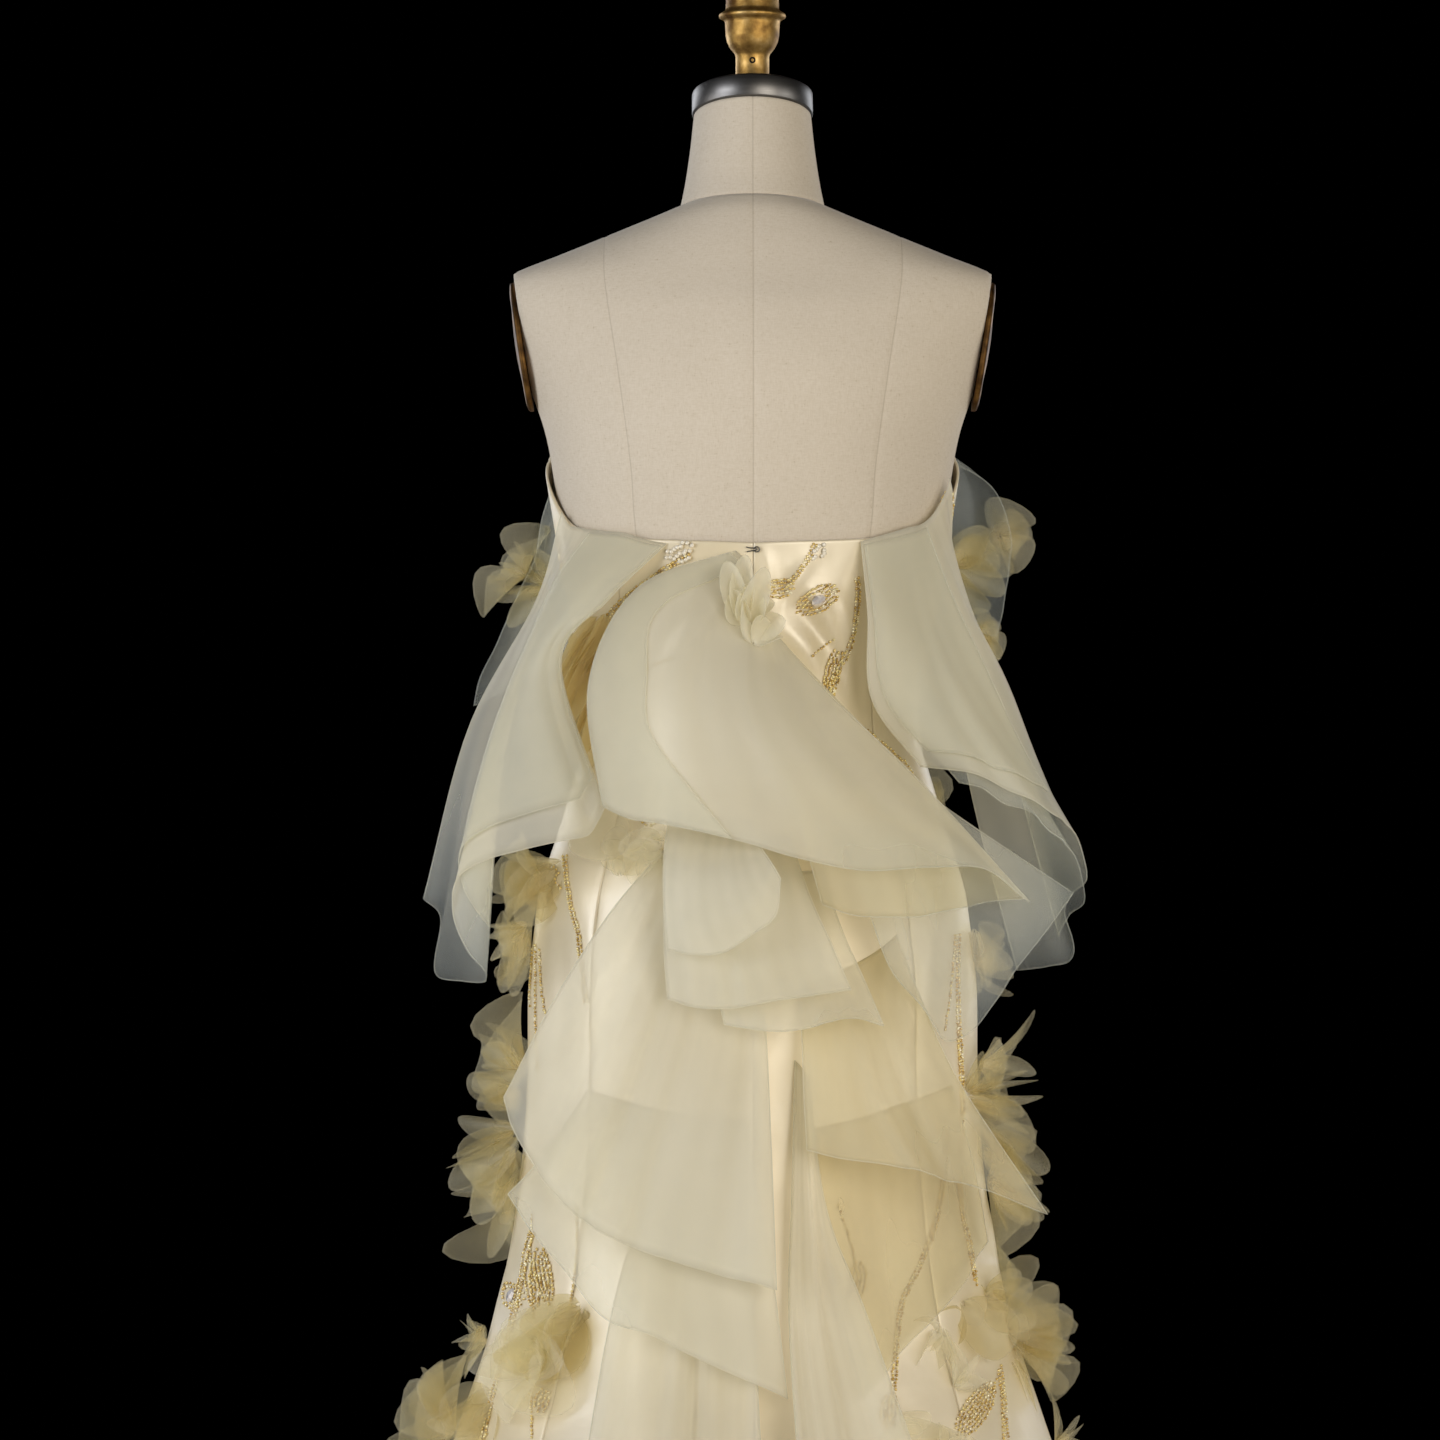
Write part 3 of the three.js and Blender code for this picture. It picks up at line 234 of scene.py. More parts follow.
def along(table, axis, key, place):
    """A smooth value of column key at place on column axis: a cubic through the rows, with slopes
    from each row's neighbours."""
    xs, ys = np.array(table[axis], float), np.array(table[key], float)
    ahead, behind = np.append(np.arange(1, len(xs)), len(xs) - 1), np.append(0, np.arange(len(xs) - 1))
    slope = (ys[ahead] - ys[behind]) / (xs[ahead] - xs[behind])
    i = np.clip(np.searchsorted(xs, place, side="left") - 1, 0, len(xs) - 2)
    span = xs[i + 1] - xs[i]
    t = np.clip((place - xs[i]) / span, 0, 1)
    ease = t * t * (3 - 2 * t)
    bend = span * t * (1 - t) * ((1 - t) * slope[i] - t * slope[i + 1])
    return ys[i] * (1 - ease) + ys[i + 1] * ease + bend


def ring_points(half, front, back, angle, z):
    """Points at an angle from centre back on a ring with its own front and back depth. The bust adds
    two soft mounds to the front."""
    x, c = half * np.sin(angle), np.cos(angle)
    up = ((z - BUST["z"]) / BUST["high"]) ** 2
    mounds = sum(np.exp(-(((x - side * BUST["x"]) / BUST["wide"]) ** 2) - up) for side in (1, -1))
    y = np.where(c > 0, back * c, front * c)
    y = y - np.where(c < 0, BUST["out"] * mounds * np.minimum(1, -2 * c), 0)
    return np.stack(np.broadcast_arrays(x, y, z), -1)


def unit(vectors):
    """Vectors brought to length 1."""
    return vectors / np.maximum(np.linalg.norm(vectors, axis=-1, keepdims=True), 1e-9)


def bell(value):
    """1 at nothing, and falling off evenly on both sides as a bell curve."""
    return np.exp(-(value**2))


def smoothstep(value, low, high):
    """0 up to low and 1 from high on, with an even S-shaped rise between them."""
    t = np.clip((value - low) / (high - low), 0, 1)
    return t * t * (3 - 2 * t)


def linen_cover():
    """Natural linen, plain woven at 0.8 mm: a matt cream cloth, even from a step away, with a fine grain
    along both threads and a few short dark slubs. The stitched lines of its seams are darker."""
    made, tree, place = new_material("linen_cover")
    threads = []
    for stretch in ((1, 1, 0.2), (0.2, 0.2, 1)):
        mapped = node(tree, "Mapping", {"Scale": stretch, "Vector": place})
        threads.append(node(tree, "TexNoise", {"Scale": 1100, "Detail": 2, "Vector": mapped}))
    weave = node(tree, "Math", {"operation": "MULTIPLY", 0: threads[0], 1: threads[1]})
    cloud = node(tree, "TexNoise", {"Scale": 7, "Detail": 4, "Vector": place})
    base = node(tree, "ValToRGB", {"stops": [(0.3, "#D1C6B5"), (0.7, "#D8CDBC")], "Fac": cloud})
    grain = [(0.08, "#DDD6C9"), (0.13, "#F6F4F0"), (0.35, "#FFFFFF")]
    grain = node(tree, "ValToRGB", {"stops": grain, "Fac": weave})
    cloth = node(tree, "Mix", {"data_type": "RGBA", "blend_type": "MULTIPLY", 0: 1, 6: base, 7: grain})
    seam = node(tree, "Attribute", {"attribute_name": "seam"}).outputs["Fac"]
    near = {"From Min": 0.25, "From Max": 0.9, "To Min": 0.28, "To Max": 0, "Value": seam}
    near = node(tree, "MapRange", near)
    stitched = node(tree, "Mix", {"data_type": "RGBA", 0: near, 6: cloth.outputs[2], 7: linear("#8F8069")})
    look = {
        "Roughness": 0.86,
        "Sheen Weight": 0.18,
        "Sheen Roughness": 0.4,
        "Specular IOR Level": 0.2,
        "Base Color": stitched.outputs[2],
        "Normal": node(tree, "Bump", {"Strength": 0.2, "Distance": 0.0005, "Height": weave}),
    }
    node(tree, "OutputMaterial", {"Surface": node(tree, "BsdfPrincipled", look)})
    return made


def form_panels(z):
    """Angles of the form's columns at each height: 24 between neighbouring seams, with one on each seam
    and one just beside it, and each column's distance from the seam. Seam k's angle is worked out from
    the blade seam's distance from the centre."""
    half = along(FORM, "z", "half", z)
    share = np.clip(along(BLADE_SEAM, "z", "x", z) / half, 0, 0.999)
    blade = np.arcsin(np.where(z > BLADE_SEAM["z"][-1], 0.999, share))
    blade = np.minimum(blade, math.radians(82))
    seams = np.stack([0 * z, blade, 0 * z + math.pi / 2, math.pi - blade, 0 * z + math.pi], 1)
    seams = np.concatenate([seams, 2 * math.pi - seams[:, -2::-1]], 1)
    inner = np.linspace(0, 1, PANEL_COLUMNS + 2)[1:-1]
    reach = np.maximum(half, 40)[:, None]
    beside = SEAM_WIDTH / reach
    columns, gaps = [], []
    for k in range(seams.shape[1] - 1):
        start, end = seams[:, k : k + 1], seams[:, k + 1 : k + 2]
        spread = start + beside + (end - start - 2 * beside) * inner
        columns.append(np.concatenate([start, start + beside, spread, end - beside], 1))
        gaps.append(np.minimum(columns[-1] - start, end - columns[-1]) * reach)
    return np.concatenate(columns, 1), np.concatenate(gaps, 1)


def arm_matrix(side):
    """Where an arm plate's own frame lies: its Z points out of the cut at the shoulder."""
    turn = Matrix.Rotation(side * (math.pi / 2 + math.radians(ARM_PLATE["lean"])), 4, "Y")
    return Matrix.Translation((side * ARM_PLATE["half"], ARM_PLATE["y"], ARM_PLATE["z"])) @ turn


linen = linen_cover()
z_rows = [(FORM_BOTTOM + 1.5, 1300, 76), (1306, 1376, 14), (1380, NECK_LINE, 24)]
z_rows = np.concatenate([np.linspace(*span) for span in z_rows])
columns, seam_gap = form_panels(z_rows)
zz = np.broadcast_to(z_rows[:, None], columns.shape)
body = ring_points(*(along(FORM, "z", k, zz) for k in ("half", "front", "back")), columns, zz).copy()
groove = SEAM_DEPTH * bell(seam_gap / (SEAM_WIDTH * 0.6))
body[..., :2] -= unit(body[..., :2]) * groove[..., None]
body[..., 2] += body[..., 1] * math.tan(NECK_FOOT_TILT) * smoothstep(zz, SHOULDER_LINE, NECK_LINE)
# The shoulders are cut off flat where the arm plates sit.
for side in (1, -1):
    inverse = np.array(arm_matrix(side).inverted())
    local = body @ inverse[:3, :3].T + inverse[:3, 3]
    inside = (np.abs(local[..., :2]) < ARM_CUT).all(-1)
    over = np.where(inside, np.maximum(local[..., 2], 0), 0)
    body -= over[..., None] * np.array(arm_matrix(side))[:3, 2]
foot = body[0].copy()
foot[:, :2] *= FOOT_SHARE
foot[:, 2] = FORM_BOTTOM
body = closed_rings(np.concatenate([foot[None], body]))
seam_gap = np.concatenate([seam_gap[:1] + 9, seam_gap[:1], seam_gap, seam_gap[-1:] + 9])
ring_solid("form_cover", body, linen, "linen", "form_torso", fields={"seam": seam_gap})

# The neck's cover is a leaning tube of the same linen with one seam at centre back. Its foot is turned
# under along the shoulder seam.
share = np.concatenate([[0], np.linspace(0.012, 0.988, 40), [1]])
tilt = NECK_FOOT_TILT + (NECK_TOP_TILT - NECK_FOOT_TILT) * share
steps = np.diff(share, prepend=0) * NECK_LENGTH
middle = np.cumsum(np.stack([0 * steps, -steps * np.sin(tilt), steps * np.cos(tilt)], 1), 0)
middle[:, 2] += NECK_LINE + 0.3
turn = full_turn(96)
turned_in = np.where((share == 0) | (share == 1), 0.8, 0)[:, None]
seam_off = np.abs((turn - math.pi / 2 + math.pi) % (2 * math.pi) - math.pi) * NECK_SEAM["radius"]
groove = NECK_SEAM["deep"] * bell(seam_off / NECK_SEAM["wide"])
half, deep = (along(NECK, "share", k, share)[:, None] - turned_in - groove for k in ("half", "deep"))
x, y = half * np.cos(turn), deep * np.sin(turn)
lean = tilt[:, None]
neck = closed_rings(middle[:, None] + np.stack([x, y * np.cos(lean), y * np.sin(lean)], -1))
seam_off = np.broadcast_to(seam_off, neck.shape[:2])
ring_solid("neck_cover", neck, linen, "linen", "form_neck", fields={"seam": seam_off})

# The neck cap is a turned steel disc with a brushed rim, and on it stands a cast gilt finial with a
# grub screw. Oval gilt plates cover the cut at each shoulder.
CAP_RADIUS = 48.5
CAP_TOP = 19.3
FINIAL = [
    (17, 0), (17, 2.4), (16.4, 3.4), (13.8, 4.4), (13.5, 5.4), (13.5, 29), (14.2, 31.4), (18, 36),
    (20.4, 41), (21.5, 46), (22, 56), (22.4, 58), (24, 59), (26.4, 60.4), (27, 62), (26.4, 63.6),
    (24, 65), (22, 66.4), (21.5, 68), (21.3, 73), (21, 76), (19.4, 83), (17, 88), (13.4, 92.6),
    (9, 95.6), (4, 96.6),
]
SCREW_HEIGHT = 25
SCREW_OUT = 13.2
FINIAL_FOOT = 5


def brushed_steel():
    """Turned steel: fine rings left by the brush, which stretch the highlights along the rim."""
    made, tree, place = new_material("brushed_steel")
    mapped = node(tree, "Mapping", {"Scale": (1, 1, 60), "Vector": place})
    lines = node(tree, "TexNoise", {"Scale": 22, "Detail": 6, "Vector": mapped})
    rough = node(tree, "MapRange", {"To Min": 0.3, "To Max": 0.5, "Value": lines})
    bump = node(tree, "Bump", {"Strength": 0.12, "Distance": 0.0003, "Height": lines})
    look = {"Metallic": 1, "Base Color": linear("#73716F"), "Roughness": rough, "Normal": bump}
    node(tree, "OutputMaterial", {"Surface": node(tree, "BsdfPrincipled", look)})
    return made


def blackened_steel():
    """Steel turned black by heat and oil, with some brown grime."""
    made, tree, _ = new_material("blackened_steel")
    grime = node(tree, "TexNoise", {"Scale": 500})
    dark = node(tree, "ValToRGB", {"stops": [(0.3, "#0E0C0A"), (0.7, "#241D14")], "Fac": grime})
    look = {"Metallic": 0.8, "Roughness": 0.5, "Base Color": dark}
    node(tree, "OutputMaterial", {"Surface": node(tree, "BsdfPrincipled", look)})
    return made


steel = brushed_steel()
neck_top = Matrix.Translation(middle[-1]) @ Matrix.Rotation(NECK_TOP_TILT, 4, "X")
cap_rim = [(CAP_RADIUS - 1, 0.3), (CAP_RADIUS, 1.3), (CAP_RADIUS, CAP_TOP - 2)]
cap_rim += [(CAP_RADIUS - 0.5, CAP_TOP - 0.8), (CAP_RADIUS - 1.8, CAP_TOP), (20, CAP_TOP)]
ring_solid("cap_disc", turned(cap_rim, 96), steel, "steel", "neck_cap", neck_top)
# The finial stands upright on the leaning cap, so its foot is cut to the cap's slope.
upright = Matrix.Translation(neck_top @ Vector((0, 0, CAP_TOP)))
finial = turned(FINIAL, 64)
height = finial[..., 2]
slope = finial[..., 1] * math.tan(NECK_TOP_TILT) + 0.35
finial[..., 2] = np.where(height < FINIAL_FOOT, np.maximum(slope + 0.4 * height, slope), height)
ring_solid("finial_cast", finial, gilt, "gilt", "finial", upright)
screw_place = Matrix.Translation((0, SCREW_OUT, SCREW_HEIGHT)) @ Matrix.Rotation(-math.pi / 2, 4, "X")
screw = turned([(2.6, 0), (2.6, 0.6), (2.2, 0.8), (1.3, 0.8), (1.2, 0.1)], 24)
ring_solid("grub_screw", screw, blackened_steel(), "gilt", place=upright @ screw_place)
# The shoulder plates take a darker copy of the gilt. This is painted shade, for they lie edge-on in shadow
# at the shoulders.
shade_darkened_gilt = antique_gilt("antique_gilt_painted_shade", "#2E1E0E", "#5C4120", "#8A6636")
high = ARM_PLATE["high"]
plate = turned([(high, 0.3), (high, 3), (high - 1.5, 4.4), (high - 7, 5.4), (high - 9, 5), (12, 7.2)], 72)
plate[..., 1] *= ARM_PLATE["wide"] / high
for side, word in ((1, "left"), (-1, "right")):
    ring_solid("shoulder_plate_" + word, plate, shade_darkened_gilt, "gilt", "arm_plate_" + word, arm_matrix(side))


# ---- Gown ----
# Seven gores of champagne duchesse satin, interlined and sewn from top edge to hem. It is close to the
# knee and flares to a train, and the seams pull the cloth in a little on both sides.
EASE = 4
SATIN = 2
SATIN_WALL = 1.4
# The facing is turned over a soft cord at the top edge, which closes most of the ease there. Under the
# arms the gown is drawn close already, so the cord is thin there.
TOP_ROLL = 3
TOP_ROLL_HEIGHT = 3
TOP_TURN = 0.5
UNDERARM = {"deg": 88, "wide": 16, "share": 0.8}
SKIRT = {
    "z": [0, 100, 200, 300, 380, 440, 500, 560, 624, 690, 760, 830, 900],
    "half": [490, 428, 368, 312, 272, 246, 226, 207, 193, 184, 180, 179, 171],
    "front": [350, 302, 260, 224, 196, 176, 160, 144, 130, 120, 116, 115, 114],
    "back": [640, 528, 432, 346, 282, 240, 206, 180, 162, 150, 142, 134, 118],
}
HIP = 900
FLARE_TOP = 560
FLUTE_DEPTH = 0.075
FLUTES_PER_GORE = 2
WAIST = 1010
HEM = 4
TOP_EDGE = {
    "deg": [0, 45, 68, 90, 118, 146, 168, 180],
    "z": [1178, 1184, 1196, 1236, 1266, 1290, 1281, 1268],
}
# Each gore's first and last angle round the gown from centre back, and the width and length of its cut
# in metres.
GORES = {
    "gown_back_left": (0, 45, 0.52, 1.42),
    "gown_side_back_left": (45, 100, 0.60, 1.40),
    "gown_side_front_left": (100, 158, 0.52, 1.36),
    "gown_front": (158, 202, 0.38, 1.36),
    "gown_side_front_right": (202, 260, 0.52, 1.36),
    "gown_side_back_right": (260, 315, 0.60, 1.40),
    "gown_back_right": (315, 360, 0.52, 1.42),
}
GORE_COLUMNS = 34
BODICE_ROWS = 44
SKIRT_ROWS = 111
# How far the thread pulls the satin in at a seam, how wide that is, and how often it puckers.
SEAM_PULL = {"deep": 0.7, "wide": 3, "pucker": 7.3}
SEAM_HAIR = 0.15
# Creases in the satin: centre by angle and height, the way it runs from level, half length, half width
# and how far it stands out (or in, below zero). They are placed at the gown's mean radius.
CREASES = [
    (-12, 1146, -62, 26, 6, 3.2), (-17, 1118, 48, 34, 6, -3.0), (-22, 1128, 52, 30, 6, 3.4),
    (-15, 1100, 40, 36, 7, 3.6), (-26, 1096, 50, 30, 6, -3.2), (-31, 1112, 66, 36, 6, 3.0),
    (-36, 1086, 62, 36, 7, -2.8), (-5, 1150, 80, 24, 5, 2.4), (16, 1142, -52, 34, 7, 2.0),
    (26, 1110, -40, 32, 6, -1.8), (60, 1050, 8, 46, 6, 1.6), (72, 1022, -6, 52, 6, -1.8),
    (88, 1066, 14, 40, 7, 1.6), (-64, 1046, -8, 46, 6, 1.6), (-80, 1018, 6, 50, 6, -1.8),
    (122, 1040, -10, 46, 7, 1.7), (140, 1012, 8, 40, 6, -1.6), (-126, 1044, 10, 50, 7, 1.7),
    (-146, 1016, -8, 40, 6, -1.6), (176, 1030, 3, 44, 6, 1.4), (48, 880, 66, 70, 12, 2.2),
    (58, 846, 74, 66, 10, -2.0), (68, 800, 80, 80, 12, 2.0), (-52, 860, -68, 70, 12, 2.0),
    (-66, 820, -78, 80, 11, -2.0), (110, 830, 82, 90, 13, 1.8), (-112, 810, -80, 90, 12, 1.8),
    (64, 600, 70, 80, 14, 2.4), (52, 560, 60, 70, 13, -2.2), (78, 520, 76, 90, 14, 2.2),
    (-50, 520, -58, 70, 14, 2.6), (-60, 490, -64, 80, 13, -2.4), (-74, 570, -76, 90, 13, 2.2),
    (150, 620, 84, 90, 13, 1.8), (-150, 600, -84, 100, 13, 1.8), (180, 700, 88, 120, 14, 1.4),
    (126, 1170, 74, 50, 7, 1.2), (-126, 1170, -74, 50, 7, 1.2),
]
CREASE_RADIUS = 165
CREASE_FADE = 12


def gown_at(deg, z):
    """The outside of the gown: the form's ring let out by the ease and the cloth down to the hip, then
    the skirt's own rings, with flutes that grow towards the hem and are nothing at the seams."""
    deg, z = np.broadcast_arrays(np.asarray(deg, float), np.asarray(z, float))
    out = EASE + SATIN
    half, front, back = (
        np.where(z >= HIP, along(FORM, "z", k, z) + out, along(SKIRT, "z", k, z))
        for k in ("half", "front", "back")
    )
    edges = np.array([0] + [row[1] for row in GORES.values()], float)
    turn = np.mod(deg, 360)
    k = np.clip(np.searchsorted(edges, turn, side="right") - 1, 0, len(GORES) - 1)
    share = (turn - edges[k]) / (edges[k + 1] - edges[k])
    flute = (1 - np.cos(2 * math.pi * FLUTES_PER_GORE * share)) / 2
    grow = 1 + FLUTE_DEPTH * flute * (np.maximum(0, FLARE_TOP - z) / FLARE_TOP) ** 1.3
    points = ring_points(half, front, back, np.radians(deg), z).copy()
    points[..., :2] *= grow[..., None]
    return points


def gown_normal(deg, z):
    """The direction out of the gown: square to a short step round it and a short step up it."""
    beside = gown_at(deg + 0.5, z) - gown_at(deg - 0.5, z)
    above = gown_at(deg, z + 4) - gown_at(deg, z - 4)
    out = unit(np.cross(above, beside))
    radial = out[..., 0] * np.sin(np.radians(deg)) + out[..., 1] * np.cos(np.radians(deg))
    return out * np.where(radial < 0, -1, 1)[..., None]


def creased(deg, z):
    """How far the creases move the satin there: each is a long soft hill or trough, its height falling
    off along and across it as a bell curve."""
    total = np.zeros(np.broadcast(deg, z).shape)
    for centre, middle, lean, long, wide, out in CREASES:
        round_it = (np.mod(deg - centre + 180, 360) - 180) * math.pi / 180 * CREASE_RADIUS
        up = z - middle
        lean = math.radians(lean)
        s = round_it * math.cos(lean) + up * math.sin(lean)
        t = up * math.cos(lean) - round_it * math.sin(lean) + 0.004 * s * s
        total += out * np.exp(-((s / long) ** 2) - (t / wide) ** 2)
    return total


def duchesse_satin():
    """Champagne duchesse satin: a heavy silk with long floats, so it is smooth, catches broad soft
    highlights, and shows only a faint rib. The rib is about 0.3 mm and is drawn at 1 mm."""
    made, tree, place = new_material("duchesse_satin")
    cloud = node(tree, "TexNoise", {"Scale": 9, "Detail": 3, "Vector": place})
    mapped = node(tree, "Mapping", {"Scale": (0.15, 0.15, 1), "Vector": place})
    rib = node(tree, "TexNoise", {"Scale": 900, "Detail": 2, "Vector": mapped})
    slack = node(tree, "TexNoise", {"Scale": 38, "Detail": 2, "Vector": place})
    fine = node(tree, "Bump", {"Strength": 0.12, "Distance": 0.0003, "Height": rib})
    look = {
        "Base Color": node(tree, "ValToRGB", {"stops": [(0.3, "#DECFAD"), (0.7, "#EADEC4")], "Fac": cloud}),
        "Roughness": 0.42,
        "IOR": 1.9,
        "Specular IOR Level": 0.9,
        "Specular Tint": linear("#FFFAF0"),
        "Sheen Weight": 0.3,
        "Sheen Roughness": 0.35,
        "Sheen Tint": linear("#FFF8EA"),
        "Normal": node(tree, "Bump", {"Strength": 0.22, "Distance": 0.003, "Height": slack, "Normal": fine}),
    }
    node(tree, "OutputMaterial", {"Surface": node(tree, "BsdfPrincipled", look)})
    return made


def wall(outer, inner):
    """The points and faces of a closed thin wall between two equal grids: both skins and the rim."""
    rows, columns = outer.shape[:2]
    skin = grid_quads(rows, columns)
    count = rows * columns
    right = np.arange(1, rows) * columns + columns - 1
    bottom = (rows - 1) * columns + np.arange(columns - 2, -1, -1)
    left = np.arange(rows - 2, 0, -1) * columns
    rim = np.concatenate([np.arange(columns), right, bottom, left])
    ahead = np.roll(rim, -1)
    edge = np.stack([rim, rim + count, ahead + count, ahead], 1)
    quads = np.concatenate([skin, skin[:, ::-1] + count, edge])
    points = np.concatenate([outer.reshape(-1, 3), inner.reshape(-1, 3)])
    a, b, c, d = (points[quads[:, k]] for k in range(4))
    volume = (a * np.cross(b, c)).sum() + (a * np.cross(c, d)).sum()
    return points, quads if volume > 0 else quads[:, ::-1]


def cloth_area(grid):
    """The area of a grid of points in square metres, as two triangles to a face."""
    a, b, c, d = grid[:-1, :-1], grid[:-1, 1:], grid[1:, 1:], grid[1:, :-1]
    halves = np.cross(b - a, c - a), np.cross(c - a, d - a)
    return sum(np.linalg.norm(h, axis=-1).sum() for h in halves) / 2 * MM * MM


def gore_skins(start, end):
    """Both skins of a gore as grids, from the top edge to the hem. Its columns lie closer at the seams.
    The creases fade out at the top edge, and a hair of a gap is left at each seam."""
    u = np.linspace(0, 1, GORE_COLUMNS + 1)
    u = 0.5 - 0.5 * np.cos(math.pi * (0.12 + 0.76 * u)) / math.cos(math.pi * 0.12)
    deg = start + (end - start) * u[None, :]
    turn = np.abs(np.mod(deg + 180, 360) - 180)
    top = along(TOP_EDGE, "deg", "z", turn)
    bodice = top + (WAIST - top) * np.concatenate([[0, 0.004], np.linspace(0.012, 1, BODICE_ROWS)])[:, None]
    skirt = np.linspace(WAIST, HEM, SKIRT_ROWS + 1)[1:, None]
    z = np.concatenate([bodice, np.broadcast_to(skirt, (SKIRT_ROWS, deg.shape[1]))])
    deg = np.broadcast_to(deg, z.shape)
    points, normal = gown_at(deg, z), gown_normal(deg, z)
    width = np.radians(end - start) * np.linalg.norm(points[..., :2], axis=-1)
    from_seam = np.minimum(u, 1 - u)[None, :] * width
    pull = SEAM_PULL["deep"] * bell(from_seam / SEAM_PULL["wide"])
    pull *= 1 + 0.6 * np.sin(z / SEAM_PULL["pucker"] + start)
    off = creased(deg, z) * np.minimum(1, (top - z) / CREASE_FADE) - pull
    ahead = unit(gown_at(deg + 0.5, z) - gown_at(deg - 0.5, z))
    gap = np.where(u == u[0], SEAM_HAIR, np.where(u == u[-1], -SEAM_HAIR, 0))[None, :, None]
    outer = points + normal * off[..., None] + ahead * gap
    at_arm = UNDERARM["share"] * bell((turn - UNDERARM["deg"]) / UNDERARM["wide"])
    roll = TOP_ROLL * bell((top - z) / TOP_ROLL_HEIGHT) * (1 - at_arm)
    inner = outer - normal * (SATIN_WALL + roll)[..., None]
    outer[0] -= normal[0] * TOP_TURN
    return outer, inner


satin = duchesse_satin()
for name, (start, end, *cut) in GORES.items():
    outer, inner = gore_skins(start, end)
    gore = mesh_object("satin_" + name, *wall(outer, inner), [satin], "satin", name)
    area = round(cloth_area(outer), 3)

# The zip is sewn behind the centre back seam: a woven tape on each side and a nylon coil between them.
ZIP_TOP = 1172
ZIP_BOTTOM = 900
TAPE_HALF = 10
TAPE = 0.6
TAPE_GAP = 0.8
COIL = {"out": 0.7, "wide": 1.6, "pitch": 6}


def woven_tape():
    """Polyester zip tape: cream, matt, with a fine herringbone drawn at 1.5 mm."""
    made, tree, place = new_material("woven_zip_tape")
    wave = node(tree, "TexWave", {"Scale": 210, "Distortion": 2, "Vector": place}).outputs["Fac"]
    colour = node(tree, "ValToRGB", {"stops": [(0.3, "#D6C498"), (0.7, "#E6D6AE")], "Fac": wave})
    look = {"Roughness": 0.75, "Base Color": colour}
    node(tree, "OutputMaterial", {"Surface": node(tree, "BsdfPrincipled", look)})
    return made


z, x = np.linspace(ZIP_TOP, ZIP_BOTTOM, 90)[:, None], np.linspace(-TAPE_HALF, TAPE_HALF, 15)[None, :]
z, x = np.broadcast_arrays(z, x)
back = gown_at(np.zeros_like(z), z)[..., 1] - SATIN - TAPE_GAP
coil = COIL["out"] * bell(x / COIL["wide"])
coil = coil * (0.6 + 0.4 * np.cos(z * 2 * math.pi / COIL["pitch"]))
tape = np.stack([x, back, z], -1)
skins = wall(tape, tape - np.stack([0 * x, TAPE + coil, 0 * x], -1))
zip_tape = mesh_object("zip_tape", *skins, [woven_tape()], "zip_tape", "zip")


